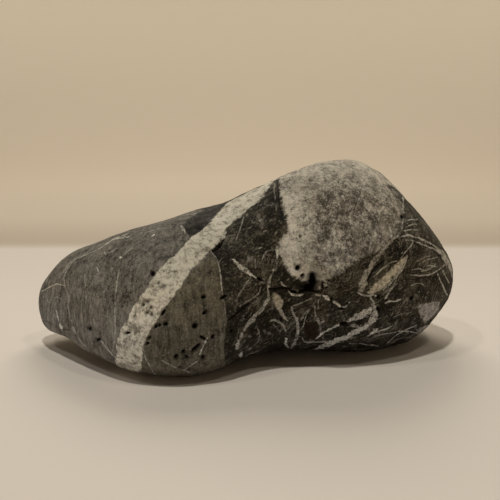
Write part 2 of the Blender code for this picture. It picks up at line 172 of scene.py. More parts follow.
# Veins: tone from 0 (faint grey) to 1 (cream white), width and path. A path point may carry its
# own width as a third value.
Vein = namedtuple("Vein", "tone width path")
VEINS = [
    # The pointed tip.
    Vein(0.72, 1.1, [(128.5, 233), (121, 236.6, 1.5), (113.5, 239), (104, 246), (98, 249.4)]),
    Vein(0.55, 0.9, [(96.6, 250.2), (90, 253), (84, 255.6), (74, 259.6), (67, 265.4), (63, 272.4)]),
    Vein(0.36, 1.5, [(71.5, 262), (67, 268), (64.6, 275), (64, 282), (66, 290), (68.4, 298), (68, 308),
         (70, 319), (74, 331), (80.5, 341), (89, 350)]),
    Vein(0.35, 1.1, [(53, 299.5), (57, 297), (61.5, 299.5)]),
    Vein(0.65, 1.2, [(42, 291.5), (50, 286.8), (57, 284), (64, 285.5)]),
    Vein(0.35, 0.9, [(43, 296), (50, 304)]),
    Vein(0.95, 1.6, [(56, 310, 1.8), (57, 314, 1.0), (58, 318, 1.9), (58.8, 321, 0.8)]),
    Vein(0.85, 2.2, [(59.6, 323.4, 1.0), (60.6, 327, 2.5), (61.8, 331, 1.0)]),
    # The long grey lobe and its crest.
    Vein(0.5, 1.1, [(119, 270, 1.5), (117.8, 277, 1.4), (115.8, 290), (115, 305), (115.2, 325),
         (114.6, 338), (113, 351)]),
    Vein(1.0, 2.2, [(119.8, 257.6), (121.8, 257.2)]),
    Vein(0.9, 1.4, [(96.6, 267.6), (98.4, 271.4)]),
    Vein(0.7, 1.2, [(104, 252), (106, 254.6)]),
    Vein(0.35, 0.9, [(108, 253.4), (118, 247.8), (128, 243)]),
    Vein(0.35, 0.9, [(122, 256), (128, 250.4), (134, 246.6)]),
    Vein(0.4, 0.8, [(171, 220.2), (175, 218.8)]),
    Vein(0.4, 0.8, [(192, 214.6), (196, 213)]),
    Vein(0.3, 0.8, [(206, 218.6), (210, 216.6)]),
    Vein(0.9, 1.5, [(151, 236.2), (154.4, 234.4)]),
    Vein(0.3, 1.6, [(92, 306), (93, 316), (94.4, 328)]),
    Vein(0.3, 0.9, [(84.4, 274), (85.5, 290), (86.3, 306)]),
    Vein(0.3, 0.9, [(131, 268), (130, 284)]),
    # The foot of the band, and the crest above it.
    Vein(0.6, 1.2, [(97, 337), (104, 345), (111.5, 353.5), (117, 359)]),
    Vein(0.7, 1.7, [(112, 239.5), (121, 237.8), (129, 236.2)]),
    Vein(0.45, 0.9, [(140, 233), (150, 231), (160, 228.5)]),
    Vein(0.5, 1.1, [(142, 347), (146.5, 360), (153, 372), (160, 377)]),
    Vein(0.42, 1.1, [(162, 361), (171, 366), (180, 369.5), (190, 373)]),
    Vein(0.4, 1.0, [(183, 371), (192, 365), (199, 360)]),
    # The edge of the dark rock below the band.
    Vein(0.7, 1.5, [(207.6, 338), (204, 345.4), (199.6, 354.6)]),
    Vein(0.4, 1.5, [(211, 251), (216.7, 259), (219.6, 268), (221, 280), (222.3, 291)]),
    Vein(0.12, 1.2, [(222.3, 292), (225, 307), (226.4, 322)]),
    # Between the band and the dome.
    Vein(0.35, 0.9, [(274.4, 183), (274, 191), (275.2, 199)]),
    Vein(0.4, 0.9, [(275.8, 205), (276.2, 211)]),
    Vein(0.45, 1.2, [(243.5, 217), (241, 226), (236, 240)]),
    Vein(0.55, 2.2, [(181, 225.5, 1.4), (183, 229.5, 2.4), (185, 233.5, 1.2)]),
    Vein(0.7, 2.4, [(226, 231, 1.0), (224, 236), (222, 241, 1.0)]),
    Vein(0.34, 1.3, [(258.5, 221), (261, 219.4)]),
    Vein(0.34, 1.3, [(263.5, 232), (266.4, 230.6)]),
    Vein(0.3, 1.2, [(248, 228), (251.5, 226.4)]),
    Vein(0.3, 3.6, [(248.5, 256), (249, 260)]),
    Vein(0.4, 1.4, [(253.6, 251), (257.5, 248.5), (262, 247.3)]),
    Vein(0.2, 1.1, [(255, 259), (255.3, 268)]),
    Vein(0.35, 1.4, [(262, 259), (264, 254.5), (267, 251), (272, 250)]),
    # The needle and the stem, left of the crevice.
    Vein(0.72, 3.4, [(232.6, 259.4, 1.8), (237, 263, 2.8), (243.5, 268.5, 4.6), (250, 273.6, 2.8),
         (256.6, 277.8, 1.4)]),
    Vein(0.5, 1.6, [(260.5, 282.3), (265, 283.3)]),
    Vein(0.32, 1.0, [(251, 277.6), (242, 289.6), (235.5, 301)]),
    Vein(0.45, 1.2, [(261, 287), (258.6, 293.6), (248, 301), (240, 306)]),
    Vein(0.5, 3.8, [(273.6, 269, 1.4), (270, 278.6, 2.8), (268, 288.6, 3.2), (267.6, 298.6, 3.0),
         (262, 309, 3.8), (255, 316.4, 3.6), (248, 325.7, 3.6), (243.4, 330.6, 2.4), (241, 336, 3.0),
         (238.3, 343.5, 3.4), (236.6, 349.5, 2.4)]),
    Vein(0.8, 3.8, [(241.5, 352.5, 2.2), (240.6, 356.5, 3.8)]),
    # The dome's left rim, and the tan wedge.
    Vein(0.8, 2.6, [(277, 246.5, 1.5), (277.4, 252, 3.0), (277.6, 258, 2.0)]),
    Vein(0.3, 2.0, [(277.4, 259), (277, 265), (275, 270.5)]),
    Vein(0.6, 2.0, [(280.8, 282.2), (283, 285), (286.5, 287.3)]),
    Vein(0.6, 1.8, [(281, 310, 1.2), (284, 316, 2.2), (287.6, 321, 1.0)]),
    # The fork and the fan, below the crevice.
    Vein(0.48, 2.8, [(291.4, 307, 1.4), (293.4, 314, 2.2), (296.4, 319, 3.2), (298, 326, 2.6),
         (298, 334, 2.8), (295, 342, 3.0), (290.7, 348.4, 1.8)]),
    Vein(0.4, 2.4, [(309, 310, 1.6), (305, 314, 2.4), (300.6, 320.5, 1.8)]),
    Vein(0.85, 2.2, [(286, 338.6), (286, 344), (288.4, 347.4, 1.2)]),
    Vein(0.5, 1.2, [(312, 298), (303, 302), (293.6, 306)]),
    Vein(0.5, 1.6, [(318, 300, 1.2), (318.5, 308.5, 1.8)]),
    Vein(0.42, 2.0, [(315, 306, 1.0), (315.6, 314, 1.6), (318.6, 321, 3.0), (320.6, 327, 2.2),
         (320.4, 333, 1.4)]),
    Vein(0.4, 1.8, [(319.5, 324, 2.4), (324, 320.5, 1.2)]),
    Vein(0.45, 1.1, [(311, 308), (306, 316), (303, 327)]),
    # The eddy, at the foot of the dark rock.
    Vein(0.36, 2.0, [(271, 321.4, 1.0), (275, 320.4, 1.8), (280, 322.4, 2.2), (284, 327, 2.2),
         (285.4, 332, 1.4)]),
    Vein(0.2, 0.9, [(274, 325), (277, 329), (280.6, 332)]),
    Vein(0.06, 4.4, [(263, 330, 2.0), (267, 332, 4.6), (271, 334, 2.4)]),
    Vein(0.24, 0.9, [(257.5, 328.5), (259.5, 334), (258.5, 340), (255.6, 345)]),
    # The spear, the root and the foot of the dome's side.
    Vein(0.85, 3.0, [(316, 338.5, 1.2), (326.4, 330.5, 2.2), (334, 327, 1.8), (339.3, 324.6, 2.0)]),
    Vein(0.74, 5.0, [(347, 321.5, 1.6), (354, 318.5, 4.2), (362, 314.5, 7.4), (368, 311, 6.4),
         (372, 308, 3.0)]),
    Vein(0.45, 3.0, [(351, 325.5), (358, 326.5)]),
    Vein(0.68, 5.0, [(312, 350.5, 1.4), (320, 347.5, 3.6), (328, 344.5, 4.6), (339.3, 340, 4.8),
         (349.3, 335.5, 5.0), (363.6, 327.5, 5.0), (373, 320, 5.4), (375.7, 311.4, 5.2),
         (373.3, 303, 3.6)]),
    Vein(0.5, 1.2, [(302, 337.6), (305, 341.4), (313, 342), (330, 342)]),
    Vein(0.6, 1.2, [(246, 357.4), (253, 353.8), (262, 350.8)]),
    Vein(0.45, 1.0, [(270, 352.4), (278, 350.8), (287, 349.4), (295, 349.8)]),
    Vein(0.6, 0.9, [(349, 343), (363.6, 344.3), (378, 345.7)]),
    Vein(0.5, 1.3, [(324, 350.5), (333, 351.5)]),
    # The chain of grains along the ledge.
    Vein(0.9, 1.9, [(288.3, 289.4, 1.0), (290.4, 293.6, 1.5), (296.6, 295.4, 2.2), (303.4, 294.2, 1.6)]),
    Vein(0.5, 1.8, [(315.5, 295), (320.4, 296.2)]),
    Vein(0.95, 2.6, [(323, 296, 1.6), (326, 297.8, 3.0), (329.2, 300, 1.6)]),
    Vein(0.7, 2.8, [(333.4, 301.4, 2.0), (337, 303.8, 3.2), (341, 307.6, 1.6)]),
    Vein(0.7, 2.0, [(341.4, 307.8), (345.4, 306.6), (349.6, 302.4)]),
    Vein(1.0, 2.6, [(319, 288.4), (320.6, 287.8)]),
    Vein(0.9, 2.4, [(323, 284.2), (326.6, 285.6)]),
    Vein(0.6, 1.5, [(325, 281.5), (329.5, 283)]),
    # The ring and threads round the tan leaf.
    Vein(0.46, 6.0, [(398, 235.6, 1.6), (390, 242.4, 3.0), (382, 252, 3.8), (373, 264, 4.6),
         (366.6, 275, 6.0), (362.4, 286, 7.0), (361, 291.2, 5.0)]),
    Vein(0.7, 1.5, [(358, 292.6, 1.2), (365, 295.6, 1.9), (374, 294.6, 1.4)]),
    Vein(0.6, 1.1, [(383, 290), (391.5, 282.5), (399, 273.5), (404.6, 265), (407.5, 255.5)]),
    Vein(0.55, 1.3, [(373, 277), (379.3, 271.4), (388, 264.3), (397, 261)]),
    Vein(0.5, 1.0, [(401, 258.5), (405, 253), (410, 247), (414.4, 241)]),
    Vein(0.45, 1.2, [(405.6, 258), (402, 266), (397.6, 276), (393.6, 286)]),
    Vein(0.5, 1.8, [(393.5, 286, 2.6), (390, 291, 1.2), (387, 296.6, 2.4), (384.6, 299, 1.2)]),
    Vein(0.7, 1.8, [(385, 303), (390, 301.5, 2.2), (394, 301.6, 1.0), (401, 299.4, 1.4)]),
    Vein(0.7, 1.8, [(373.3, 302), (370.3, 297.5), (372.5, 294.8), (376, 296)]),
    # The arcs below the dome's right rim.
    Vein(0.6, 1.5, [(401, 237), (409.3, 235), (415, 237), (423.6, 240), (432, 244.3), (439.3, 250),
         (446.4, 258.6), (452, 271.4)]),
    Vein(0.55, 1.3, [(406, 240), (414, 241), (426.4, 246.2), (435, 249.2), (440.7, 254.3)]),
    Vein(0.5, 1.2, [(404, 231), (411, 229.4), (418, 230)]),
    Vein(0.5, 5.0, [(436.6, 247.6, 2.6), (443.6, 255, 5.4), (448.4, 263, 5.4), (451.4, 270, 4.4),
         (452.5, 277, 2.0)]),
    Vein(0.55, 1.6, [(402.8, 196), (403.6, 207), (403.2, 218), (402, 229)]),
    Vein(0.55, 1.3, [(405, 222), (411, 219.5), (418, 219)]),
    Vein(0.5, 1.2, [(406, 227), (412, 224.6), (417, 224.5)]),
    # The strands of the blunt end.
    Vein(0.45, 1.0, [(419.3, 264.3), (427, 260), (438, 257)]),
    Vein(0.42, 0.9, [(424, 267), (430, 265.7), (437, 267)]),
    Vein(0.55, 1.2, [(410.7, 275), (420.7, 275.7), (432, 273.6), (440.7, 268.6), (445, 264.3)]),
    Vein(0.35, 0.9, [(412, 270), (419, 269), (427, 271)]),
    Vein(0.32, 0.9, [(417, 261.5), (424, 257.5), (431, 255.5)]),
    Vein(0.35, 0.9, [(421, 271.4), (429, 269.4), (437, 263.4)]),
    Vein(0.4, 1.1, [(411, 286), (415, 283.6), (422, 284), (425, 287)]),
    Vein(0.65, 1.3, [(437.6, 273.5), (441.4, 283), (447.5, 295)]),
    Vein(0.45, 1.1, [(443, 270), (446, 277), (449, 283)]),
    # The foot of the blunt end.
    Vein(0.6, 1.1, [(367, 336.5), (378, 332), (387, 329), (393, 325.5)]),
    Vein(0.55, 0.9, [(373, 337), (385, 334), (397, 331.6)]),
    Vein(0.5, 0.9, [(387, 343.4), (394, 337), (401, 332.4), (417, 325)]),
    Vein(0.5, 1.0, [(398, 331), (410, 332), (423.6, 334.6)]),
    Vein(0.22, 1.0, [(391, 343), (401, 338.5), (413, 338)]),
    Vein(0.2, 0.8, [(393, 318), (402, 314), (411, 313)]),
    Vein(0.85, 3.6, [(370, 334, 1.6), (374.5, 331.5, 4.2), (378, 329, 1.4)]),
]
# Veins of one layer keep this far apart, and a line is kept this far beyond its edge, in pixels.
VEIN_CLEARANCE = 4.4
VEIN_REACH = 2.1

# Pits: middle, width, length, the lean of the length from upright (to the right) and depth. The depth also
# sets how dark the hollow is painted, as painted shade.
Pit = namedtuple("Pit", "x y width length lean depth")
PITS = [
    Pit(152.5, 273, 4.0, 5.6, 0, 3.4), Pit(89, 328.8, 4.6, 5.4, 0, 3.0),
    Pit(97.2, 340, 3.8, 5.8, 70, 3.0), Pit(204, 297, 4.0, 5.6, 60, 3.0), Pit(224, 297, 3.6, 8.6, 60, 3.4),
    Pit(205, 313, 3.4, 6.0, 45, 2.6), Pit(195, 326, 5.6, 6.0, 0, 4.4), Pit(203, 338, 3.4, 9.0, -62, 3.6),
    Pit(213, 337, 3.2, 6.0, 35, 3.2), Pit(195.5, 348.5, 3.8, 11.0, 48, 3.6),
    Pit(183, 352, 3.6, 5.4, 40, 3.4), Pit(176, 357, 3.8, 5.8, 50, 3.6),
    Pit(186.5, 357, 3.0, 6.2, -62, 3.2), Pit(203, 358, 4.2, 6.0, 10, 4.0),
    Pit(180, 367.5, 2.4, 4.4, 80, 1.4), Pit(163.2, 312, 3.2, 9.6, 28, 3.8),
    Pit(165, 324, 4.2, 5.0, 80, 3.6), Pit(159.2, 325, 2.6, 3.4, 0, 2.8),
    Pit(155.6, 326.6, 2.6, 5.6, 30, 3.0), Pit(148.8, 338, 3.0, 5.4, 38, 3.0),
    Pit(147, 343.6, 3.0, 4.8, 80, 3.0), Pit(158.3, 283, 3.2, 4.4, 40, 1.5),
    Pit(163, 286.5, 3.4, 6.0, 50, 0.9), Pit(148, 301.8, 3.8, 6.2, 20, 1.3),
    Pit(143.2, 305, 3.2, 4.4, 20, 1.8), Pit(146.8, 312.6, 3.4, 6.0, 60, 1.5),
    Pit(151.4, 315, 3.2, 5.0, -30, 1.4), Pit(150.6, 307.5, 2.6, 3.8, 0, 1.1),
    Pit(107, 255.4, 1.8, 2.4, 0, 1.2), Pit(127, 333, 3.0, 6.6, 84, 2.6), Pit(219, 246, 3.4, 5.0, 40, 3.4),
    Pit(297.5, 268, 5.6, 6.2, 0, 4.2), Pit(303, 276, 4.4, 5.0, 60, 3.6), Pit(403, 216, 4.4, 5.2, 0, 3.4),
    Pit(343.6, 324.3, 4.4, 8.0, 84, 4.4), Pit(411.6, 298, 3.8, 4.8, 0, 3.0),
    Pit(378.2, 309.3, 4.0, 5.0, 0, 3.4), Pit(378.3, 297, 3.0, 4.0, 40, 2.6),
    Pit(260, 279.3, 3.0, 7.6, -58, 3.0), Pit(331.6, 299.2, 3.2, 4.4, 0, 2.6),
    Pit(341.5, 308.5, 2.8, 5.2, 84, 2.6), Pit(347.5, 304, 2.8, 3.8, 0, 2.6),
    Pit(322, 284, 2.6, 4.2, 40, 2.4), Pit(328.5, 281.5, 2.4, 3.6, 60, 2.0),
    Pit(326, 287.5, 2.2, 3.8, 70, 2.0), Pit(415.5, 242.3, 2.4, 3.8, 60, 1.8),
    Pit(392.8, 277.8, 2.0, 3.8, 20, 1.6), Pit(398.5, 249, 2.0, 3.0, 40, 1.4),
    Pit(386, 250.5, 2.2, 3.0, 60, 1.4), Pit(231.7, 330.8, 3.2, 4.2, 30, 2.6),
    Pit(300.2, 236.5, 2.6, 3.2, 0, 1.2), Pit(281.5, 318.5, 2.2, 3.4, 30, 1.6),
]
# The crevice: two deep hollows and shallow ones round them; their dark colour is painted shade, soft round
# the crevice and near black in it.
CREVICE = [
    Pit(311.6, 281.8, 5.4, 15.5, 6, 8.0), Pit(307.6, 286.4, 5.6, 10.0, 66, 6.0),
    Pit(312, 278, 12.0, 20.0, 8, 1.6), Pit(302.5, 284.8, 8.5, 17.0, 80, 1.5),
    Pit(309, 289, 5.0, 12.0, 80, 1.8), Pit(321.6, 286.6, 2.8, 4.6, 50, 3.0),
]
# Pits of the back: x and z in millimetres in place of pixels, and sizes in pixels as above.
BACK_PITS = [
    Pit(-23.1, 14.0, 5.6, 7.6, 20, 4.2), Pit(-20.6, 12.0, 4.8, 4.8, 0, 3.4),
    Pit(-17.1, 18.0, 4.4, 6.8, -50, 3.4), Pit(-3.1, 22.5, 5.2, 7.2, -40, 3.8),
    Pit(18.9, 30.0, 6.4, 8.0, 65, 4.4), Pit(22.4, 28.5, 4.4, 5.2, 0, 3.2),
    Pit(31.9, 14.0, 5.6, 5.6, 0, 3.8), Pit(-38.0, 15.0, 3.4, 5.0, 60, 2.2),
    Pit(6.0, 11.0, 3.4, 4.4, 0, 2.4), Pit(9.5, 12.5, 2.8, 5.2, -70, 2.2),
    Pit(-12.0, 9.0, 3.0, 3.6, 0, 2.0), Pit(38.5, 24.0, 3.2, 5.2, 30, 2.2),
]
# The back's pits lie behind this y, where the camera is faced less than this.
BACK_Y_MM = 4.0
BACK_FACING = 0.1
PIT_MARGIN = 3.0
# A pit's floor ends, and its rim is reached, at these shares of its half width.
PIT_WALL = (0.35, 1.2)

# Cracks: open seams, as width, depth and path; the depth also sets their dark colour, which is painted
# shade.
Crack = namedtuple("Crack", "width depth path")
CRACKS = [
    Crack(2.2, 2.0, [(269, 289), (275, 289.6), (281, 288.6), (286, 288.6), (291, 291)]),
    Crack(2.0, 3.2, [(288.5, 289.4), (292, 291.6), (296, 292.3)]),
    Crack(2.2, 3.2, [(299.5, 291.6), (304, 290), (311, 288.4)]),
    Crack(1.5, 2.4, [(311, 289.6), (315, 291.2), (318.5, 291.6)]),
    Crack(0.9, 0.8, [(318, 291), (325, 293.5), (332, 298), (338, 303)]),
    Crack(2.0, 1.7, [(229, 320), (236, 314.6), (243, 308.5), (250, 303.4)]),
    Crack(1.0, 0.8, [(60, 330), (65, 329.6), (71, 331)]),
    Crack(1.0, 0.7, [(46, 321), (50, 323.5), (53, 324.5)]),
    Crack(1.3, 0.7, [(233, 330), (240, 321), (249, 315)]),
    Crack(1.4, 0.8, [(252, 330), (257, 322), (265, 315), (271, 309)]),
    Crack(1.3, 0.7, [(250, 346), (258, 344), (268, 341), (279, 342)]),
    Crack(1.3, 0.7, [(300, 345), (310, 346.5), (322, 346)]),
    Crack(1.2, 0.9, [(347, 325.5), (354, 324), (362, 320), (368, 314)]),
    Crack(1.8, 1.2, [(367.5, 281), (371, 274), (378, 266), (385, 260)]),
    Crack(1.8, 0.8, [(389, 256), (396, 251), (404, 247)]),
    Crack(1.3, 1.0, [(276.5, 179), (277.5, 188), (278.5, 198), (280, 209), (283, 216)]),
    Crack(2.0, 2.2, [(223, 239.5), (221, 244.5), (217.5, 248.5), (212.5, 251)]),
    Crack(1.6, 0.7, [(389, 187), (394, 192), (399, 198)]),
    Crack(1.2, 0.7, [(405, 279), (416, 279.5), (428, 277.5), (436, 277)]),
    Crack(1.2, 0.7, [(410, 257), (419, 254), (428, 252)]),
    Crack(1.2, 0.7, [(380, 326), (391, 321), (402, 318), (411, 316)]),
    Crack(1.2, 0.9, [(268, 350.4), (276, 349), (284.5, 347)]),
    Crack(1.4, 0.9, [(246, 356.5), (256, 354), (266, 350.5), (276, 348.5)]),
    Crack(1.4, 0.7, [(114, 251.5), (122, 246), (131, 241.5)]),
    Crack(1.2, 0.6, [(124, 246.5), (132, 243), (138, 240)]),
    Crack(1.0, 0.4, [(188, 239), (197, 245), (206, 250), (212, 249)]),
]

# ---- Markings of the hidden sides, in millimetres -----------------------------------------------
# Sheets of calcite cut the whole stone, so each is a plane: a point on it, its normal, half its
# thickness, its tone and how far it wanders. They show only where the camera's picture plane can't
# reach. Each layer of veins carries one of them.
Sheet = namedtuple("Sheet", "point normal half_width tone wander")
HIDDEN_SHEETS = [
    Sheet((-40.0, 10.0, 15.0), (0.93, 0.30, 0.20), 0.22, 0.55, 1.6),
    Sheet((0.0, 15.0, 30.0), (0.10, -0.45, 0.89), 0.28, 0.75, 2.4),
    Sheet((22.0, 20.0, 20.0), (0.80, 0.20, -0.56), 0.45, 0.85, 2.2),
    Sheet((10.0, 20.0, 12.0), (-0.35, 0.10, 0.93), 0.16, 0.45, 2.0),
    Sheet((44.0, 5.0, 20.0), (0.55, -0.30, 0.78), 0.40, 0.70, 1.8),
    Sheet((-14.0, 0.0, 0.0), (0.60, 0.78, 0.15), 0.20, 0.50, 2.2),
]
VEIN_LAYERS = len(HIDDEN_SHEETS)

# Zones of the hidden sides.
BAND_PLANE_POINT = (-13.0, -19.7, 24.3)
BAND_PLANE_NORMAL = (0.79, -0.42, -0.44)
BAND_HALF_WIDTH = 2.1
DARK_PLANE_POINT = (-13.0, 0.0, 35.0)
DARK_PLANE_NORMAL = (0.97, 0.15, 0.18)
DOME_CENTRE = (22.8, 2.0, 44.0)
DOME_RADII = (17.8, 24.0, 21.0)
HIDDEN_TONES = (0.35, 0.6, 0.5)
# A point is all hidden where it faces the camera less than the first value, and all seen from the
# second on. The hidden sides' lines and clasts start half way, and near there is no line.
SEEN_FADE = (0.0, 0.22)
HALF_HIDDEN = 0.5
NO_LINE_WITHIN = 0.25
# Upward faces are painted darker, as painted shade: how much they face up where it starts and is full.
PAINTED_TOP_SHADE_UP = (0.15, 0.95)

# ---- Skin ---------------------------------------------------------------------------------------

# The cells along each side of the box that is wrapped onto the stone, and the inner spine that it is
# wrapped from.
CELLS = (102, 42, 51)
SPINE_HALF_MM = 32.0
SPINE_Y_MM = 2.5
SPINE_Z_MM = 18.0

# Evening out: rounds over the solid's facets and over each cut, and the two steps of a round.
FACET_ROUNDS = 80
BLEND_ROUNDS = 3
SHRINK_STEP = 0.6
GROW_STEP = -0.63

# Faces are cut in four where they face the camera more than this, and again this close to the edge
# of a line, in pixels, or of a pit, in half widths.
SEEN_FACING = -0.03
FINE_LINE = 1.8
FINE_PIT = -0.7
FINE_HIDDEN_PIT = -0.5
SKIN_INSET_MM = 0.05
BOX_INSET_MM = 0.02

# Where each side of the box of cells lies in the UV map: left, low, width and height.
UV_PLACES = {
    "front": (0.004, 0.508, 0.992, 0.488),
    "back": (0.004, 0.256, 0.488, 0.240),
    "top": (0.508, 0.256, 0.488, 0.240),
    "under": (0.004, 0.006, 0.488, 0.240),
    "left": (0.508, 0.006, 0.236, 0.240),
    "right": (0.756, 0.006, 0.240, 0.240),
}

# Lines: how far round a line is looked at, and what distance and half width mean no line. A hidden
# sheet is kept this far beyond its edge. All in pixels.
LINE_MARGIN = 8.0
LINE_FAR = 9.0
LINE_ABSENT = -2.0
HIDDEN_REACH = 5.5

# Relief: heights in millimetres, and how far each edge reaches out and in, in pixels.
BAND_RISE_MM = 0.08
BAND_SHOULDER = 1.5
VEIN_RISE_MM = 0.07
VEIN_SHOULDER = 0.9
DARK_SHOULDER = 2.0
CRACK_WALL = (-0.8, 0.9)

# Random fields over the stone: size (in millimetres or as a share), waves per millimetre, seed and
# octaves. Each seed moves the field by the shift.
Drift = namedtuple("Drift", "size scale seed octaves")
WORN = Drift(0.12, 0.16, 3, 3)
GRAIN = Drift(0.03, 0.75, 5, 2)
BROKEN = Drift(0.12, 0.42, 7, 3)
BAND_GRAIN = Drift(0.04, 1.1, 9, 2)
PIT_WOBBLE = Drift(0.34, 0.8, 40, 1)
HIDDEN_WAVE = Drift(2.2, 0.07, 21, 2)
HIDDEN_SWELL = Drift(0.7, 0.2, 23, 2)
SHEET_WANDER = Drift(1.0, 0.045, 0, 3)
SHEET_SWELL = Drift(0.9, 0.09, 20, 2)
SHEET_LEAST = 0.75
SEED_SHIFT = (17.3, -9.1, 5.7)

# ---- Colours ------------------------------------------------------------------------------------

PALEST = 0.9
FRONT_LIGHT = (0.60, 0.57, 0.505)


def paint(red, green, blue):
    """The colour that looks like this on the lit front of the stone, from sRGB values of 0 to 255."""
    channels = []
    for value, light in zip((red, green, blue), FRONT_LIGHT):
        share = value / 255
        linear = share / 12.92 if share <= 0.04045 else ((share + 0.055) / 1.055) ** 2.4
        channels.append(linear / light)
    excess = max(1.0, max(channels) / PALEST)
    return (*(channel / excess for channel in channels), 1.0)


GREY_ROCK = paint(96, 89, 76)
OLIVE_ROCK = paint(78, 71, 55)
PALE_FLECK = paint(140, 129, 109)
DARK_ROCK = paint(24, 21, 13)
GREY_CLAST = paint(95, 86, 68)
DOME_DARK = paint(62, 55, 44)
DOME_PALE = paint(196, 183, 157)
DOME_STAIN = paint(140, 127, 107)
DOME_SALT = paint(196, 186, 166)
CLAST_GREY = paint(84, 77, 68)
CLAST_PALE = paint(146, 136, 120)
RUST_DARK = paint(21, 14, 8)
RUST = paint(38, 25, 15)
TAN = paint(158, 146, 121)
CALCITE_WHITE = paint(196, 185, 158)
CALCITE_STAIN = paint(104, 94, 77)
CALCITE_JOINT = paint(78, 66, 48)
VEIN_GREY = paint(98, 89, 74)
VEIN_WHITE = paint(190, 181, 159)
PALE_HAIR = paint(112, 104, 90)
PALE_WISP = paint(116, 107, 90)
# Near black: painted shade in the pits, the crevice and the cracks, and the rock's own dark specks.
HOLLOW_SHADE_AND_SPECK_DARK = paint(13, 9, 6)
# The share of the colour that the painted shade of upward faces, and the wedge left of the band, take off
# at full.
TOP_SHADE_AND_WEDGE_SHARE = 0.36

# Heights on the stone, in millimetres, where a change starts and is full.
DARK_TONE_MM = (18.0, 32.0)
DARK_FOOT_MM = (18.0, 5.0)
DOME_TINT_MM = (38.0, 28.0)
FOOT_TINT_MM = (24.0, 5.0)
# What the colour of the dome's lower part, and of the stone's foot, is multiplied by: both are less warm.
DOME_TINT = (1.0, 1.05, 1.12, 1.0)
FOOT_TINT = (1.0, 1.08, 1.28, 1.0)

# How softly one rock passes into the next, in pixels each way, and how frayed the rust's edge is.
EDGE_BLUR = 0.7
DOME_BLUR = 2.0
TAN_BLUR = 1.0
RUST_EDGE = (-2.2, 1.8)
RUST_FRAY = 2.2
# How pale the dome is at its darkest tone, and what its palest tone adds.
DOME_LEAST = 0.24
DOME_LIFT = 0.66

SKIN_ROUGHNESS = 0.80
SKIN_SPECULAR = 0.14
BUMP_STRENGTH = 0.35
BUMP_MM = 0.12

# ---- Stage, in metres ---------------------------------------------------------------------------

TABLE_COLOUR = (0.64, 0.58, 0.51, 1.0)
TABLE_FAR_COLOUR = (0.56, 0.505, 0.44, 1.0)
BEHIND_COLOUR = (0.47, 0.40, 0.315, 1.0)
# Painted shadow: the wall is darker at its foot, just behind the table's edge.
WALL_FOOT_PAINTED_SHADOW = (0.40, 0.335, 0.26, 1.0)
WALL_COLOUR = (0.76, 0.678, 0.544, 1.0)
FRONT_COLOUR = (0.24, 0.205, 0.17, 1.0)
STAGE_ROUGHNESS = 0.75
STAGE_SPECULAR = 0.2
FRONT_RISE = 0.10
FRONT_EDGE_Y = -0.10
FRONT_WALL_Y = -0.45
TABLE_EDGE_Y = 0.139
TABLE_EDGE_BLUR = 0.012
WALL_FOOT_SHADOW_DEPTH = 0.10
INNER_RADII = (0.06, 0.14, 0.3)
FLOOR_RADIUS = 0.50
SWEEP_RADIUS = 0.30
SWEEP_STEPS = 12
WALL_HEIGHT = 0.42
STAGE_SIDES = 96

# ---- Light --------------------------------------------------------------------------------------

# Name, place, aim, width, depth, power and colour.
LIGHTS = [
    ("lamp", (-0.06, -0.12, 1.2), (0.0, 0.0, 0.0), 0.06, 0.05, 5.5, (1.0, 0.985, 0.94)),
    ("left_lamp", (-0.50, -0.14, 1.1), (0.0, 0.0, 0.0), 0.06, 0.05, 1.35, (1.0, 0.985, 0.94)),
    ("right_lamp", (0.43, -0.14, 1.1), (0.0, 0.0, 0.0), 0.06, 0.05, 1.3, (1.0, 0.92, 0.79)),
    ("back_glow", (0.0, 0.75, 0.75), (0.0, 0.0, 0.02), 0.60, 0.50, 5.9, (1.0, 0.925, 0.80)),
]
SURROUND_COLOUR = (1.0, 0.95, 0.88, 1.0)
SURROUND_STRENGTH = 0.008


# ---- Picture plane ------------------------------------------------------------------------------

def to_picture(points):
    """Where points in millimetres fall in the frame, in pixels from its top left corner."""
    offset = points - CAMERA_MM
    depth = -offset @ CAMERA_BACK
    across = FRAME_PIXELS / 2 + FOCAL_PIXELS * (offset @ CAMERA_RIGHT) / depth
    down = FRAME_PIXELS / 2 - FOCAL_PIXELS * (offset @ CAMERA_UP) / depth
    return np.stack([across, down], axis=1)


def smooth_path(points, width=1.0, steps=5):
    """A smooth curve through the points, with a width in the third column."""
    rows = np.array([point if len(point) == 3 else (*point, width) for point in points], float)
    ends = np.vstack([2 * rows[0] - rows[1], rows, 2 * rows[-1] - rows[-2]])
    curve = []
    for index in range(len(rows) - 1):
        before, start, end, after = ends[index:index + 4]
        for share in np.arange(steps) / steps:
            linear = (end - before) * share
            square = (2 * before - 5 * start + 4 * end - after) * share ** 2
            cube = (3 * start - before - 3 * end + after) * share ** 3
            curve.append(0.5 * (2 * start + linear + square + cube))
    curve.append(rows[-1])
    return np.array(curve)


def line_field(where, path):
    """For each place: its signed distance from a path, the path's width there, and any overshoot."""
    nearest = np.full(len(where), np.inf)
    signed, width, past = np.zeros((3, len(where)))
    last = len(path) - 2
    for index in range(len(path) - 1):
        start = path[index, :2]
        along = path[index + 1, :2] - start
        length = max(float(np.hypot(*along)), TINY)
        offset = where - start
        raw = offset @ along / length ** 2
        share = np.clip(raw, 0.0, 1.0)
        gap = np.hypot(*(offset - share[:, None] * along).T)
        closer = gap < nearest
        side = np.where(along[0] * offset[:, 1] - along[1] * offset[:, 0] >= 0, 1.0, -1.0)
        over = np.zeros(len(where))
        if index == 0:
            over = np.maximum(over, -raw * length)
        if index == last:
            over = np.maximum(over, (raw - 1) * length)
        nearest[closer] = gap[closer]
        signed[closer] = (side * gap)[closer]
        width[closer] = (path[index, 2] * (1 - share) + path[index + 1, 2] * share)[closer]
        past[closer] = over[closer]
    return signed, width, past


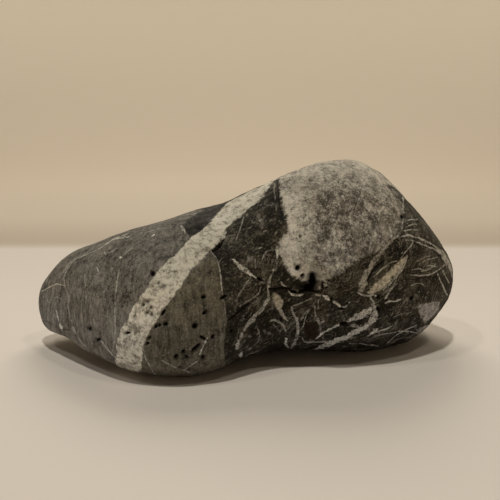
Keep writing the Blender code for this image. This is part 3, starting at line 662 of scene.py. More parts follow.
def zone_field(where, outline):
    """Signed distance of each place from a closed outline, positive inside it."""
    corners = np.asarray(outline, float)
    closed = np.vstack([corners, corners[:1]])
    nearest = np.full(len(where), np.inf)
    inside = np.zeros(len(where), bool)
    for start, end in zip(closed[:-1], closed[1:]):
        along = end - start
        offset = where - start
        share = np.clip(offset @ along / max(along @ along, TINY), 0.0, 1.0)
        nearest = np.minimum(nearest, np.hypot(*(offset - share[:, None] * along).T))
        spans = (start[1] > where[:, 1]) != (end[1] > where[:, 1])
        rise = along[1] if abs(along[1]) > TINY else TINY
        crossing = start[0] + (where[:, 1] - start[1]) * along[0] / rise
        inside ^= spans & (where[:, 0] < crossing)
    return np.where(inside, nearest, -nearest)


def smoothstep(value, low, high):
    """0 below low, 1 above high, and a soft step between; low above high turns it round."""
    share = np.clip((value - low) / (high - low), 0.0, 1.0)
    return share * share * (3 - 2 * share)


def ramped(where, ramps):
    """What a list of ramps adds up to at each place."""
    return sum(ramp.share * smoothstep(where @ ramp.along, ramp.start, ramp.full) for ramp in ramps)


# ---- Skin ---------------------------------------------------------------------------------------

def cad_surface():
    """A search tree of the stone's own surface, in millimetres."""
    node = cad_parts["pebble"]
    corners = [vertex.co / MM for vertex in node.data.vertices]
    faces = [tuple(face.vertices) for face in node.data.polygons]
    return BVHTree.FromPolygons(corners, faces)


def lattice_points():
    """Whole-number places on the surface of a box of cells."""
    across, deep, high = CELLS
    for i in range(across + 1):
        for j in range(deep + 1):
            rim = i in (0, across) or j in (0, deep)
            for k in (range(high + 1) if rim else (0, high)):
                yield i, j, k


def pushed_out(surface, place):
    """The point of the stone's surface that a place of the box is wrapped onto."""
    u, v, w = (2 * count / total - 1 for count, total in zip(place, CELLS))
    start = Vector((u * SPINE_HALF_MM, SPINE_Y_MM, SPINE_Z_MM))
    way = Vector((u ** 3, math.tan(v * math.pi / 4), math.tan(w * math.pi / 4))).normalized()
    hit = surface.ray_cast(start, way)[0]
    if hit is None:
        raise SystemExit("the inner spine leaves the stone")
    return hit


def box_sides():
    """Each side of the box of cells: its name, and a rule from two counts to a place on it."""
    across, deep, high = CELLS
    return [
        ("front", across, high, lambda a, b: (a, 0, b)),
        ("back", across, high, lambda a, b: (across - a, deep, b)),
        ("left", deep, high, lambda a, b: (0, deep - a, b)),
        ("right", deep, high, lambda a, b: (across, a, b)),
        ("top", across, deep, lambda a, b: (a, b, high)),
        ("under", across, deep, lambda a, b: (a, deep - b, 0)),
    ]


def wrapped_box(surface):
    """The box of cells wrapped onto the stone, with each of its sides laid flat in the UV map."""
    mesh = bmesh.new()
    corner = {place: mesh.verts.new(pushed_out(surface, place)) for place in lattice_points()}
    layer = mesh.loops.layers.uv.new("OFBake")
    for name, wide, tall, rule in box_sides():
        left, low, width, height = UV_PLACES[name]
        for a in range(wide):
            for b in range(tall):
                counts = [(a, b), (a + 1, b), (a + 1, b + 1), (a, b + 1)]
                face = mesh.faces.new([corner[rule(*count)] for count in counts])
                face.smooth = True
                for loop, (p, q) in zip(face.loops, counts):
                    loop[layer].uv = (left + width * p / wide, low + height * q / tall)
    mesh.verts.index_update()
    mesh.normal_update()
    return mesh


def directions(mesh):
    """The mesh's vertex normals as an array."""
    mesh.normal_update()
    return np.array([vertex.normal[:] for vertex in mesh.verts])


def place_vertices(mesh, points):
    """Moves the mesh's points to those of an array."""
    for vertex, point in zip(mesh.verts, points):
        vertex.co = point


def relaxed(mesh, rounds):
    """Evens the mesh's points out, each round letting them out again so that the form keeps its size."""
    mesh.verts.index_update()
    points = np.array([vertex.co[:] for vertex in mesh.verts])
    pairs = np.array([[end.index for end in edge.verts] for edge in mesh.edges])
    count = np.bincount(pairs.ravel(), minlength=len(points)).astype(float)
    for share in (SHRINK_STEP, GROW_STEP) * rounds:
        total = np.zeros_like(points)
        for axis in range(3):
            total[:, axis] += np.bincount(pairs[:, 0], points[pairs[:, 1], axis], len(points))
            total[:, axis] += np.bincount(pairs[:, 1], points[pairs[:, 0], axis], len(points))
        points = points + share * (total / count[:, None] - points)
    place_vertices(mesh, points)
    return points


def facing_camera(points, normals):
    """How squarely each point faces the camera: 1 head on, 0 edge on, below 0 turned away."""
    way = CAMERA_MM - points
    way /= np.linalg.norm(way, axis=1)[:, None]
    return np.einsum("ij,ij->i", way, normals)


def split_faces(mesh, wanted):
    """Cuts in four every face that has a wanted vertex."""
    mesh.verts.index_update()
    faces = [face for face in mesh.faces if any(wanted[vertex.index] for vertex in face.verts)]
    edges = {edge for face in faces for edge in face.edges}
    order = sorted(edges, key=lambda edge: edge.index)
    bmesh.ops.subdivide_edges(mesh, edges=order, cuts=1, use_grid_fill=True)
    mesh.verts.index_update()
    mesh.edges.index_update()
    mesh.faces.index_update()


# ---- Fields: what lies where on the skin --------------------------------------------------------

def drift(points, field, more_seed=0):
    """A soft random value for each point, between about plus and minus the field's size."""
    shift = Vector([part * (field.seed + more_seed) for part in SEED_SHIFT])
    places = [Vector(point) * field.scale + shift for point in points]
    return field.size * np.array([fractal(place, 1.0, 2.0, field.octaves) for place in places])


def gap_between(one, other):
    """The least gap between the edges of two veins, in pixels."""
    apart = np.hypot(one[:, None, 0] - other[None, :, 0], one[:, None, 1] - other[None, :, 1])
    return float((apart - one[:, None, 2] / 2 - other[None, :, 2] / 2).min())


def sorted_into_layers(paths):
    """Shares the veins out among layers, so that those of one layer keep clear of each other."""
    layers = [[] for _ in range(VEIN_LAYERS)]
    for index, path in enumerate(paths):
        gaps = [[gap_between(path, paths[held]) for held in layer] for layer in layers]
        room = [min(row, default=math.inf) for row in gaps]
        fitting = [number for number, gap in enumerate(room) if gap > VEIN_CLEARANCE]
        chosen = fitting[0] if fitting else int(np.argmax(room))
        layers[chosen].append(index)
    return layers


def line_layer(where, shown, paths, values):
    """Signed distance, half width and value of the nearest line; half width is below 0 away from it."""
    field = np.tile([LINE_FAR, LINE_ABSENT, 0.0], (len(where), 1))
    nearest = np.full(len(where), np.inf)
    for path, value in zip(paths, values):
        low = path[:, :2].min(axis=0) - LINE_MARGIN
        high = path[:, :2].max(axis=0) + LINE_MARGIN
        near = np.where(shown & np.all((where > low) & (where < high), axis=1))[0]
        signed, width, past = line_field(where[near], path)
        outside = np.abs(signed) - width / 2
        half = np.where(outside > VEIN_REACH, LINE_ABSENT, width / 2 - past)
        closer = outside < nearest[near]
        rows = near[closer]
        nearest[rows] = outside[closer]
        field[rows] = np.stack([signed, half, np.full(len(near), value)], axis=1)[closer]
    return field


def plane_distance(points, place, normal):
    """Signed distance from a plane, in millimetres."""
    return (points - place) @ (np.array(normal) / np.linalg.norm(normal))


def sheet_layer(points, sheet, seed):
    """The same three values for a sheet of calcite that cuts the hidden sides."""
    wander = sheet.wander * drift(points, SHEET_WANDER, seed)
    signed = (plane_distance(points, sheet.point, sheet.normal) + wander) * PIXELS_PER_MM
    half = sheet.half_width * (SHEET_LEAST + drift(points, SHEET_SWELL, seed)) * PIXELS_PER_MM
    half = np.where(np.abs(signed) > half + HIDDEN_REACH, LINE_ABSENT, half)
    return np.stack([signed, half, np.full(len(points), sheet.tone)], axis=1)


def vein_layers(points, where, hidden):
    """Every layer of veins: those of the front, and the sheets where the front's can't reach."""
    paths = [smooth_path(vein.path, vein.width) for vein in VEINS]
    shown = hidden < HALF_HIDDEN
    behind = np.where(~shown)[0]
    between = np.abs(hidden - HALF_HIDDEN) < NO_LINE_WITHIN
    layers = []
    for number, members in enumerate(sorted_into_layers(paths)):
        shades = [VEINS[index].tone for index in members]
        field = line_layer(where, shown, [paths[index] for index in members], shades)
        field[behind] = sheet_layer(points[behind], HIDDEN_SHEETS[number], number)
        field[between, 1] = LINE_ABSENT
        layers.append(field)
    return layers


def crack_layer(where, hidden):
    """The three values of the nearest open crack."""
    paths = [smooth_path(crack.path, crack.width) for crack in CRACKS]
    return line_layer(where, hidden < HALF_HIDDEN, paths, [crack.depth for crack in CRACKS])


def hollow_field(where, allowed, hollows, wobble):
    """For each place: how deep it lies in the hollows, and how far inside one, 1 at a middle."""
    depth = np.zeros(len(where))
    inside = np.full(len(where), -1.0)
    for hollow in hollows:
        lean = math.radians(hollow.lean)
        offset = where - (hollow.x, hollow.y)
        near = np.where(allowed & (np.hypot(*offset.T) < hollow.length + PIT_MARGIN))[0]
        right, down = offset[near].T
        along = right * math.sin(lean) - down * math.cos(lean)
        across = right * math.cos(lean) + down * math.sin(lean)
        reach = np.hypot(across / hollow.width, along / hollow.length) * 2 * (1 + wobble[near])
        depth[near] = np.maximum(depth[near], hollow.depth * (1 - smoothstep(reach, *PIT_WALL)))
        inside[near] = np.maximum(inside[near], 1 - reach)
    return depth, inside


def all_hollows(points, where, facing):
    """Depth and inside share of every pit and of the crevice, on the front and the back."""
    wobble = drift(points, PIT_WOBBLE)
    depth, inside = hollow_field(where, facing > 0.0, PITS + CREVICE, wobble)
    side_view = points[:, [0, 2]] * PIXELS_PER_MM
    scaled = [pit._replace(x=pit.x * PIXELS_PER_MM, y=pit.y * PIXELS_PER_MM) for pit in BACK_PITS]
    back = (points[:, 1] > BACK_Y_MM) & (facing < BACK_FACING)
    back_depth, back_inside = hollow_field(side_view, back, scaled, wobble)
    return np.maximum(depth, back_depth), np.maximum(inside, back_inside)


def zones(points, where, hidden):
    """Signed distances, in pixels, from the edges of the band, the dark rock and the dome."""
    seen = [zone_field(where, outline) for outline in (BAND_OUTLINE, DARK_OUTLINE, DOME_OUTLINE)]
    wave = drift(points, HIDDEN_WAVE)
    band = np.abs(plane_distance(points, BAND_PLANE_POINT, BAND_PLANE_NORMAL) + wave / 2)
    band = BAND_HALF_WIDTH - band + drift(points, HIDDEN_SWELL)
    dark = plane_distance(points, DARK_PLANE_POINT, DARK_PLANE_NORMAL) + wave
    reach = np.linalg.norm((points - DOME_CENTRE) / DOME_RADII, axis=1)
    dome = (1 - reach) * min(DOME_RADII)
    carried = (band, dark, dome)
    mixed = [(1 - hidden) * near + hidden * PIXELS_PER_MM * far for near, far in zip(seen, carried)]
    return np.stack(mixed, axis=1)


def clast_zones(where, hidden):
    """Signed distances, in pixels, from the edges of each kind of clast."""
    kinds = [np.max([zone_field(where, outline) for outline in kind], axis=0) for kind in CLASTS.values()]
    return np.where(hidden[:, None] < HALF_HIDDEN, np.stack(kinds, axis=1), CLAST_ABSENT)


def tones(where, hidden):
    """How light the dome, the band and the grey rock are at each point, from 0 to 1."""
    across, down = where.T
    from_rim = np.abs(line_field(where, np.array([(x, y, 1.0) for x, y in DOME_LEFT_RIM]))[0])
    dome = (1 - smoothstep(from_rim, *RIM_FADE)) * smoothstep(down, *RIM_FOOT) + ramped(where, DOME_RAMPS)
    dome = dome - CORNER_SHADE * smoothstep(down, *CORNER_Y) * smoothstep(across, *CORNER_X)
    for cloud in DOME_CLOUDS:
        from_middle = np.hypot(across - cloud.x, down - cloud.y)
        dome = dome - cloud.share * smoothstep(from_middle, cloud.radius, CLOUD_CORE * cloud.radius)
    olive = smoothstep(line_field(where, smooth_path(BAND_RIGHT_EDGE))[0], *OLIVE_FADE)
    olive = olive * (1 - OLIVE_FOOT_SHARE * smoothstep(down, *OLIVE_FOOT))
    grey = ramped(where, GREY_RAMPS) - OLIVE_SHADE * olive
    seen = np.stack([np.clip(dome, 0, 1), BAND_TONE + ramped(where, BAND_RAMPS), grey], axis=1)
    return seen * (1 - hidden[:, None]) + np.array(HIDDEN_TONES) * hidden[:, None]


def painted_top_shade_and_wedge(normals, where, main, hidden):
    """How much darker each point is painted: the upward faces most, as painted shade, and the wedge left
    of the band.
    """
    band, dark = main[:, 0], main[:, 1]
    wedge = smoothstep(where[:, 0] + WEDGE_SLOPE * where[:, 1], WEDGE_END, WEDGE_START) * (1 - hidden)
    wedge = wedge * smoothstep(dark, *WEDGE_IN_DARK) * smoothstep(band, *WEDGE_OFF_BAND)
    return smoothstep(normals[:, 2], *PAINTED_TOP_SHADE_UP) + WEDGE_SHADE * wedge


Fields = namedtuple("Fields", "veins crack depth inside zones clasts tones weather hidden")


def read_fields(points, normals):
    """Everything that the markings and the relief need, for each point of the skin."""
    where = to_picture(points)
    facing = facing_camera(points, normals)
    hidden = 1 - smoothstep(facing, *SEEN_FADE)
    depth, inside = all_hollows(points, where, facing)
    main = zones(points, where, hidden)
    return Fields(vein_layers(points, where, hidden), crack_layer(where, hidden), depth, inside, main,
                  clast_zones(where, hidden), tones(where, hidden),
                  painted_top_shade_and_wedge(normals, where, main, hidden), hidden)


def fine_places(fields):
    """The points whose faces carry pits, cracks or veins, and are cut finer."""
    close = fields.inside > FINE_PIT
    for field in fields.veins + [fields.crack]:
        close |= (np.abs(field[:, 0]) - field[:, 1] < FINE_LINE) & (field[:, 1] > 0)
    return close & (fields.hidden < HALF_HIDDEN) | (fields.inside > FINE_HIDDEN_PIT)


def shown_line(field, low, high):
    """1 on a line and 0 off it; low and high are how far from its edge that starts and ends."""
    return 1 - smoothstep(np.abs(field[:, 0]) - field[:, 1], low, high)


def relief(points, fields):
    """How far each point stands out from the worn form, in millimetres."""
    band, dark, dome = fields.zones.T
    worn = drift(points, WORN) + drift(points, GRAIN)
    broken = smoothstep(dark, -DARK_SHOULDER, DARK_SHOULDER)
    broken = broken * (1 - smoothstep(dome, -DARK_SHOULDER, DARK_SHOULDER))
    proud = smoothstep(band, -BAND_SHOULDER, BAND_SHOULDER) * (BAND_RISE_MM + drift(points, BAND_GRAIN))
    for field in fields.veins:
        rise = VEIN_RISE_MM * shown_line(field, -VEIN_SHOULDER, VEIN_SHOULDER) * field[:, 2]
        proud = np.maximum(proud, rise)
    groove = fields.crack[:, 2] * shown_line(fields.crack, *CRACK_WALL)
    sunk = np.maximum(fields.depth, groove) / PIXELS_PER_MM
    return worn + broken * drift(points, BROKEN) + proud - sunk


def to_object(name, mesh):
    """The finished mesh as an object of the scene."""
    data = bpy.data.meshes.new(name)
    mesh.to_mesh(data)
    mesh.free()
    thing = bpy.data.objects.new(name, data)
    bpy.context.scene.collection.objects.link(thing)
    return thing


def make_skin():
    """The stone's skin: the worn form without facets, with its pits, cracks and raised veins."""
    mesh = wrapped_box(cad_surface())
    points = relaxed(mesh, FACET_ROUNDS)
    split_faces(mesh, facing_camera(points, directions(mesh)) > SEEN_FACING)
    points = relaxed(mesh, BLEND_ROUNDS)
    split_faces(mesh, fine_places(read_fields(points, directions(mesh))))
    points = relaxed(mesh, BLEND_ROUNDS)
    normals = directions(mesh)
    fields = read_fields(points, normals)
    points = points + normals * (relief(points, fields) - SKIN_INSET_MM)[:, None]
    low, high = (np.array(corner[:]) / MM for corner in CAD_BOX)
    place_vertices(mesh, np.clip(points, low + BOX_INSET_MM, high - BOX_INSET_MM) * MM)
    return to_object("pebble_skin", mesh), fields


def store_fields(data, fields):
    """Keeps three values for each point of the skin under each name that the material reads."""
    kept = {f"vein_{number}": field for number, field in enumerate(fields.veins)}
    kept["crack"] = fields.crack
    kept["zones"] = fields.zones
    kept["clasts"] = fields.clasts
    kept["tones"] = fields.tones
    # The third value is the painted shade of upward faces, with the wedge left of the band.
    kept["pits"] = np.stack([fields.inside, fields.depth, fields.weather], axis=1)
    for name, values in kept.items():
        attribute = data.attributes.new(name, "FLOAT_VECTOR", "POINT")
        attribute.data.foreach_set("vector", np.ascontiguousarray(values, dtype=np.float32).ravel())


# ---- Nodes --------------------------------------------------------------------------------------

# A Mix node has sockets for every kind of data. These are the numbers of the colours'.
MIX_UNDER = 6
MIX_OVER = 7
MIX_RESULT = 2
# The share of a thread's width that has its full colour.
THREAD_CORE = 0.15


class Value:
    """An output of a material's node; +, - and * on it add the node that works them out."""

    def __init__(self, socket):
        self.socket = socket

    def __add__(self, other):
        return calculated("ADD", self, other)

    def __sub__(self, other):
        return calculated("SUBTRACT", self, other)

    def __rsub__(self, other):
        return calculated("SUBTRACT", other, self)

    def __mul__(self, other):
        return calculated("MULTIPLY", self, other)

    def __abs__(self):
        return calculated("ABSOLUTE", self, 0.0)

    __radd__ = __add__


def feed(socket, value):
    """Links a value to an input, or sets the input's own value."""
    if isinstance(value, Value):
        socket.id_data.links.new(value.socket, socket)
    else:
        socket.default_value = value


def added(kind, beside, output, inputs, **settings):
    """An output of a new node beside a value, with the node's inputs by name or number."""
    node = beside.socket.id_data.nodes.new("ShaderNode" + kind)
    for name, setting in settings.items():
        setattr(node, name, setting)
    for place, value in inputs.items():
        feed(node.inputs[place], value)
    return Value(node.outputs[output])


def calculated(operation, one, other):
    """The result of a sum, of which at least one side is a value."""
    beside = one if isinstance(one, Value) else other
    return added("Math", beside, 0, {0: one, 1: other}, operation=operation)


def most(one, other):
    """The larger of two values."""
    return calculated("MAXIMUM", one, other)


def step(value, low, high):
    """0 below low, 1 above high, softly between; low above high turns it round."""
    flip = low > high
    inputs = {"Value": value, "From Min": min(low, high), "From Max": max(low, high),
              "To Min": float(flip), "To Max": float(not flip)}
    return added("MapRange", value, "Result", inputs, interpolation_type="SMOOTHSTEP")


def parts(vector):
    """The three parts of a vector."""
    first = added("SeparateXYZ", vector, 0, {0: vector})
    return [Value(socket) for socket in first.socket.node.outputs]


def stored(place, name):
    """The three values that the skin keeps under a name."""
    return parts(added("Attribute", place, "Vector", {}, attribute_name=name))


def stretched(vector, factors):
    """Places multiplied by a factor along each axis."""
    return added("VectorMath", vector, 0, {0: vector, 1: factors}, operation="MULTIPLY")


def turned(vector, degrees, factors):
    """Places stretched along a line that leans up to the right, and across it."""
    inputs = {"Vector": vector, "Rotation": (0.0, -math.radians(degrees), 0.0),
              "Scale": [1 / factor for factor in factors]}
    return added("Mapping", vector, "Vector", inputs, vector_type="TEXTURE")


def noise(vector, scale, detail=2.0, roughness=0.55, warp=0.0):
    """A random value from 0 to 1; scale is in waves per unit of the vector."""
    inputs = {"Vector": vector, "Scale": scale, "Detail": detail, "Roughness": roughness,
              "Distortion": warp}
    return added("TexNoise", vector, "Fac", inputs)


def sway(value, reach):
    """A random 0 to 1 value turned into one from -reach to reach."""
    return (value - 0.5) * (2 * reach)


def swing(reach, vector, *pattern):
    """Noise of a pattern (scale, detail, roughness and warp) that sways from -reach to reach."""
    return sway(noise(vector, *pattern), reach)


def cells(vector, scale, feature="F1"):
    """Distance inside random cells or, for DISTANCE_TO_EDGE, from their edges."""
    return added("TexVoronoi", vector, "Distance", {"Vector": vector, "Scale": scale}, feature=feature)


def random_of(spot):
    """The random value of each of the cells that a distance was measured in."""
    return parts(Value(spot.socket.node.outputs["Color"]))[0]


def scattered(vector, scale, edge, chosen):
    """Spots in random cells: where their edge starts and ends, and which random values have one."""
    spot = cells(vector, scale)
    return step(spot, *edge) * step(random_of(spot), *chosen)


def within(signed, blur):
    """1 inside an edge and 0 outside it, with a soft step of the blur on each side."""
    return step(signed, -blur, blur)


def threads(value, width):
    """Thin lines where a random value passes its middle."""
    return step(abs(value - 0.5), width, width * THREAD_CORE)


def mix(share, under, over, blend="MIX"):
    """The under colour with the over colour on it, or with MULTIPLY tinted by it, by the share."""
    inputs = {0: share, MIX_UNDER: under, MIX_OVER: over}
    return added("Mix", share, MIX_RESULT, inputs, data_type="RGBA", blend_type=blend)


def lit(colour, brightness):
    """The colour with its brightness multiplied."""
    inputs = {0: colour if isinstance(colour, Value) else colour[:3], "Scale": brightness}
    return added("VectorMath", brightness, 0, inputs, operation="SCALE")


def new_material(name):
    """A new material, its shader, and the place on the object as a value."""
    material = bpy.data.materials.new(name)
    material.use_nodes = True
    nodes = material.node_tree.nodes
    shader = next(node for node in nodes if node.type == "BSDF_PRINCIPLED")
    return material, shader, Value(nodes.new("ShaderNodeTexCoord").outputs["Object"])


# ---- Rock ---------------------------------------------------------------------------------------
# Noise is given as scale in waves per millimetre, detail, roughness and warp.

def grey_rock(place, tone):
    """Fine grey limestone with faint upright streaks, pale flecks and a few dark specks."""
    mottle = noise(place, 1.2, 4.0, 0.75)
    drawn = stretched(place, (1.0, 0.7, 0.12))
    bright = 1.06 + swing(0.5, place, 0.13, 3.0) + swing(0.9, place, 0.40, 3.0, 0.6) + sway(mottle, 0.8)
    bright = bright + swing(1.4, place, 2.6, 3.0, 0.75) + swing(1.5, drawn, 1.1, 4.0, 0.7)
    bright = most(bright + most(tone, -0.2) * -0.16, 0.2)
    colour = lit(mix(step(tone, 0.0, -0.5), GREY_ROCK, OLIVE_ROCK), bright)
    hairs = threads(noise(drawn, 0.50, 2.0, 0.5), 0.012) * step(mottle, 0.46, 0.66)
    colour = mix(hairs, colour, PALE_HAIR)
    colour = mix(scattered(place, 1.5, (0.40, 0.20), (0.80, 0.88)) * 0.40, colour, PALE_FLECK)
    return mix(scattered(place, 1.1, (0.24, 0.10), (0.88, 0.93)) * 0.6, colour, HOLLOW_SHADE_AND_SPECK_DARK)


def dashes(place, lean, scale, warp):
    """Short broken streaks along a lean, from 0 to 1."""
    along = turned(place, lean, (0.22, 0.7, 1.25))
    return step(noise(along, scale, 3.0, 0.6, warp), 0.545, 0.66)


def dark_rock(place, tone, foot):
    """Broken dark rock, with angular bits and curling threads of paler grey in it."""
    broad = noise(place, 0.20, 4.0, 0.6)
    flow = turned(place, 32.0, (0.45, 0.8, 1.15))
    mottle = noise(flow, 0.75, 5.0, 0.72, 0.7)
    level = 0.30 + sway(broad, 0.8) + sway(mottle, 0.85) + swing(1.25, place, 2.4, 3.0, 0.75)
    level = level + tone * -0.02 + foot * -0.20
    colour = mix(step(level, 0.0, 1.25), DARK_ROCK, GREY_CLAST)
    turn = step(noise(place, 0.16, 2.0, 0.5), 0.46, 0.54)
    wisps = dashes(place, 24.0, 1.0, 0.8) * turn + dashes(place, 66.0, 0.9, 1.0) * (1.0 - turn)
    colour = mix(wisps * step(broad, 0.40, 0.60) * 0.62, colour, PALE_WISP)
    curls = threads(noise(flow, 0.28, 4.0, 0.55, 1.6), 0.018)
    curly = step(noise(place, 0.30, 3.0, 0.6), 0.46, 0.58)
    colour = mix(curls * curly * 0.75, colour, PALE_WISP)
    bits = scattered(turned(place, 52.0, (0.6, 0.9, 1.5)), 1.3, (0.46, 0.20), (0.86, 0.90))
    colour = mix(bits * step(mottle, 0.42, 0.60) * 0.65, colour, PALE_FLECK)
    return mix(scattered(place, 1.3, (0.36, 0.16), (0.86, 0.92)) * 0.7, colour, HOLLOW_SHADE_AND_SPECK_DARK)


def speckled_rock(place, balance):
    """Salt and pepper grain; balance lifts it towards the pale colour."""
    blotch = noise(place, 0.42, 3.0, 0.6)
    salt = cells(place, 1.7)
    pick = random_of(salt)
    level = sway(blotch, 0.8) + swing(0.80, place, 1.25, 4.0, 0.72) + swing(0.95, place, 2.8, 3.0, 0.72)
    level = level + sway(pick, 0.12) + balance
    colour = mix(step(level, -0.15, 1.35), DOME_DARK, DOME_PALE)
    worms = threads(noise(place, 0.55, 3.0, 0.6, 1.2), 0.020) * step(blotch, 0.60, 0.44)
    colour = mix(worms * 0.42, colour, DOME_DARK)
    colour = mix(scattered(place, 0.95, (0.44, 0.22), (0.66, 0.74)) * 0.34, colour, DOME_SALT)
    grains = step(salt, 0.36, 0.16) * step(pick, 0.80, 0.86)
    colour = mix(grains * 0.38, colour, DOME_SALT)
    stain = step(noise(turned(place, 90.0, (0.4, 0.8, 1.2)), 0.25, 2.0, 0.5), 0.54, 0.66)
    return mix(stain * 0.32, colour, DOME_STAIN)


def white_calcite(place, tone):
    """Granular white calcite, with tan stains, brown grains and joints across it."""
    blotch = noise(place, 0.38, 4.0, 0.68)
    fibres = turned(place, -30.0, (0.30, 0.8, 1.5))
    level = random_of(cells(place, 1.9)) * 0.20 + sway(blotch, 1.3) + swing(1.4, place, 0.95, 4.0, 0.72)
    level = level + swing(0.6, place, 2.8, 3.0, 0.7) + swing(0.4, fibres, 1.2, 3.0, 0.65)
    level = level + (tone * 0.40 + 0.24)
    colour = mix(step(level, -0.1, 1.1), CALCITE_STAIN, CALCITE_WHITE)
    edge = cells(stretched(place, (0.7, 0.8, 1.3)), 0.60, "DISTANCE_TO_EDGE")
    joints = step(edge, 0.06, 0.01) * step(blotch, 0.56, 0.42)
    colour = mix(joints * 0.26, colour, CALCITE_JOINT)
    return mix(scattered(place, 1.35, (0.36, 0.16), (0.82, 0.87)) * 0.60, colour, CALCITE_JOINT)


def draw_veins(place, colour, roughness):
    """Draws every layer of veins over the rock, with a painted shade along their edges."""
    fray = swing(1.5, place, 0.38, 2.0) + swing(1.4, place, 1.9, 3.0, 0.7)
    girth = noise(place, 0.65, 3.0, 0.65) * 2.6 - 0.35
    wear = noise(place, 0.8, 4.0, 0.72)
    grain = 0.95 + swing(1.8, place, 3.4, 3.0, 0.65)
    for number in range(VEIN_LAYERS):
        signed, half, tone = stored(place, f"vein_{number}")
        outside = abs(signed + fray * step(half, -0.2, 1.2)) - half * girth
        # Painted shade along the edges of each raised vein.
        painted_vein_edge_shade = step(outside, 1.5, 0.3) * step(half, 0.0, 0.8)
        colour = lit(colour, 1.0 - painted_vein_edge_shade * (tone * 0.38))
        strength = step(outside, 0.40, -0.35) * (0.22 + step(wear + tone * 0.14, 0.46, 0.62) * 0.72)
        colour = mix(strength, colour, lit(mix(tone, VEIN_GREY, VEIN_WHITE), grain))
        roughness = roughness + strength * -0.06
    return colour, roughness


def draw_openings(place, colour):
    """Darkens the upward faces and the wedge left of the band, and paints shade into the cracks and the
    pits.
    """
    fray = swing(0.7, place, 1.8, 3.0, 0.6)
    signed, half, strength = stored(place, "crack")
    # Painted shade in the open cracks.
    dark = step(abs(signed + fray) - half, 0.6, -0.6) * step(strength, 0.0, 1.3)
    colour = mix(dark, colour, HOLLOW_SHADE_AND_SPECK_DARK)
    inside, depth, weather = stored(place, "pits")
    inside = inside + fray * 0.28
    # Painted shade on upward faces, and the darker wedge left of the band.
    colour = lit(colour, 1.0 - weather * TOP_SHADE_AND_WEDGE_SHARE)
    # Painted shade round and in the pits and the crevice.
    colour = lit(colour, 1.0 - step(inside, -0.8, 0.3) * 0.42)
    # Painted shade: the deep hollows near black.
    return mix(step(inside, -0.25, 0.50) * step(depth, 0.3, 2.2), colour, HOLLOW_SHADE_AND_SPECK_DARK)


def draw_clasts(place, colour, fray):
    """Draws the single fragments: the speckled, the rusty and the tan ones."""
    speckled, rust, tan = stored(place, "clasts")
    level = 0.55 + (swing(2.2, place, 1.7, 4.0, 0.75) + swing(1.4, place, 0.6, 2.0))
    grey = mix(step(level, 0.0, 1.1), CLAST_GREY, CLAST_PALE)
    colour = mix(within(speckled + fray, EDGE_BLUR), colour, grey)
    rusty = mix(step(noise(place, 1.0, 4.0, 0.75), 0.40, 0.58), RUST_DARK, RUST)
    colour = mix(step(rust + fray * RUST_FRAY, *RUST_EDGE), colour, rusty)
    sandy = lit(TAN, 0.9 + swing(1.7, place, 1.8, 4.0, 0.75))
    return mix(within(tan + fray, TAN_BLUR), colour, sandy)


def skin_material():
    """Grey limestone, broken dark rock, a speckled dome and a white band, veined with calcite."""
    material, shader, object_place = new_material("pebble_skin")
    place = stretched(object_place, (1 / MM, 1 / MM, 1 / MM))
    height = parts(place)[2]
    band, dark, dome = stored(place, "zones")
    dome_tone, band_tone, grey_tone = stored(place, "tones")
    fray = swing(2.4, place, 0.9, 4.0, 0.62)
    ragged = swing(5.0, place, 0.42, 3.0, 0.6, 0.5) + swing(6.0, place, 1.7, 4.0, 0.75)
    wavy = fray + swing(4.0, place, 0.30, 3.0, 0.6)

    broken = dark_rock(place, step(height, *DARK_TONE_MM), step(height, *DARK_FOOT_MM))
    colour = mix(within(dark + fray, EDGE_BLUR), grey_rock(place, grey_tone), broken)
    speckled = speckled_rock(place, DOME_LEAST + dome_tone * DOME_LIFT)
    speckled = mix(step(height, *DOME_TINT_MM), speckled, DOME_TINT, "MULTIPLY")
    colour = mix(within(dome + ragged, DOME_BLUR), colour, speckled)
    colour = draw_clasts(place, colour, fray)
    roughness = SKIN_ROUGHNESS + swing(0.3, place, 1.2, 3.0)
    colour, roughness = draw_veins(place, colour, roughness)
    colour = mix(within(band + wavy, EDGE_BLUR), colour, white_calcite(place, band_tone))
    colour = draw_openings(place, colour)
    colour = mix(step(height, *FOOT_TINT_MM), colour, FOOT_TINT, "MULTIPLY")

    grain = noise(place, 1.9, 4.0, 0.65) + noise(place, 6.0, 2.0) * 0.4
    bump = {"Strength": BUMP_STRENGTH, "Distance": BUMP_MM * MM, "Height": grain}
    feed(shader.inputs["Base Color"], colour)
    feed(shader.inputs["Roughness"], roughness)
    feed(shader.inputs["Specular IOR Level"], SKIN_SPECULAR)
    feed(shader.inputs["Normal"], added("Bump", place, "Normal", bump))
    return material


# ---- Stage --------------------------------------------------------------------------------------

def stage_material():
    """A matt pale table that turns softly to the tone of a plain wall behind it, with a painted shadow
    along the wall's foot.
    """
    material, shader, place = new_material("stage_pale")
    _, deep, high = parts(place)
    behind = step(deep, TABLE_EDGE_Y - TABLE_EDGE_BLUR, TABLE_EDGE_Y + TABLE_EDGE_BLUR)
    # Painted shadow along the wall's foot.
    foot = behind * step(deep, TABLE_EDGE_Y + WALL_FOOT_SHADOW_DEPTH, TABLE_EDGE_Y)
    before = step(high, 0.0, FRONT_RISE) * step(deep, FRONT_EDGE_Y, FRONT_WALL_Y)
    colour = mix(step(deep, 0.0, TABLE_EDGE_Y), TABLE_COLOUR, TABLE_FAR_COLOUR)
    colour = mix(behind, colour, BEHIND_COLOUR)
    colour = mix(foot, colour, WALL_FOOT_PAINTED_SHADOW)
    colour = mix(step(high, 0.0, SWEEP_RADIUS), colour, WALL_COLOUR)
    colour = mix(before, colour, FRONT_COLOUR)
    feed(shader.inputs["Base Color"], colour)
    feed(shader.inputs["Roughness"], STAGE_ROUGHNESS)
    feed(shader.inputs["Specular IOR Level"], STAGE_SPECULAR)
    return material


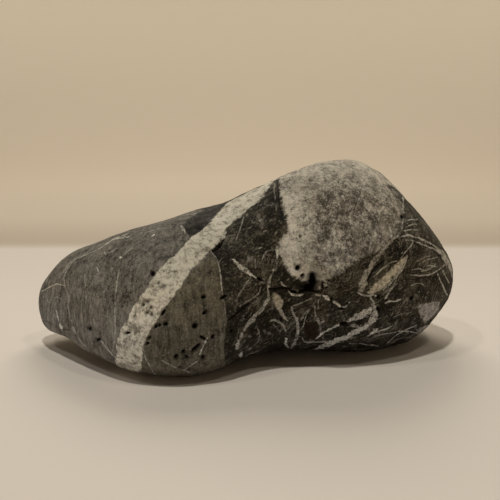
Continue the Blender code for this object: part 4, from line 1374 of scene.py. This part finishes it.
def make_stage():
    """A round floor whose rim sweeps up to a wall all the way round."""
    rings = [(radius, 0.0) for radius in (*INNER_RADII, FLOOR_RADIUS)]
    for index in range(1, SWEEP_STEPS + 1):
        turn = math.radians(90) * index / SWEEP_STEPS
        out = FLOOR_RADIUS + SWEEP_RADIUS * math.sin(turn)
        rings.append((out, SWEEP_RADIUS * (1 - math.cos(turn))))
    rings.append((FLOOR_RADIUS + SWEEP_RADIUS, WALL_HEIGHT))
    mesh = bmesh.new()
    centre = mesh.verts.new((0.0, 0.0, 0.0))
    turns = [2 * math.pi * index / STAGE_SIDES for index in range(STAGE_SIDES)]
    loops = []
    for radius, height in rings:
        loops.append([mesh.verts.new((radius * math.cos(t), radius * math.sin(t), height)) for t in turns])
    for index in range(STAGE_SIDES):
        after = (index + 1) % STAGE_SIDES
        mesh.faces.new((centre, loops[0][index], loops[0][after]))
        for inner, outer in zip(loops[:-1], loops[1:]):
            mesh.faces.new((inner[index], outer[index], outer[after], inner[after]))
    for face in mesh.faces:
        face.smooth = True
    stage = to_object("stage", mesh)
    stage.data.materials.append(stage_material())
    return stage


def make_light(name, place, aim, width, depth, power, colour):
    """A soft light with a flat face turned to a point, its width level."""
    lamp = bpy.data.lights.new(name, "AREA")
    lamp.shape = "RECTANGLE"
    lamp.size = width
    lamp.size_y = depth
    lamp.energy = power
    lamp.color = colour
    holder = bpy.data.objects.new(name, lamp)
    holder.location = place
    holder.rotation_euler = (Vector(aim) - Vector(place)).to_track_quat("-Z", "Y").to_euler()
    bpy.context.scene.collection.objects.link(holder)


def make_world():
    """An even warm surround."""
    world = bpy.data.worlds.new("surround")
    world.use_nodes = True
    background = world.node_tree.nodes["Background"]
    background.inputs["Color"].default_value = SURROUND_COLOUR
    background.inputs["Strength"].default_value = SURROUND_STRENGTH
    bpy.context.scene.world = world


def make_camera():
    """The camera, level from side to side and looking a little down at the stone."""
    lens = bpy.data.cameras.new("camera")
    lens.lens = LENS_MM
    lens.sensor_width = SENSOR_MM
    lens.clip_start = CLIP_START
    lens.clip_end = CLIP_END
    camera = bpy.data.objects.new("camera", lens)
    camera.location = Vector(CAMERA_MM) * MM
    camera.rotation_euler = (math.pi / 2 - CAMERA_PITCH, 0.0, 0.0)
    bpy.context.scene.collection.objects.link(camera)
    bpy.context.scene.camera = camera


# ---- Making -------------------------------------------------------------------------------------

make_camera()
make_world()
for light in LIGHTS:
    make_light(*light)
make_stage()

skin, skin_fields = make_skin()
store_fields(skin.data, skin_fields)
skin.data.materials.append(skin_material())
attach(skin, "root")
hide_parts("pebble")

bpy.context.scene.view_settings.view_transform = "Standard"
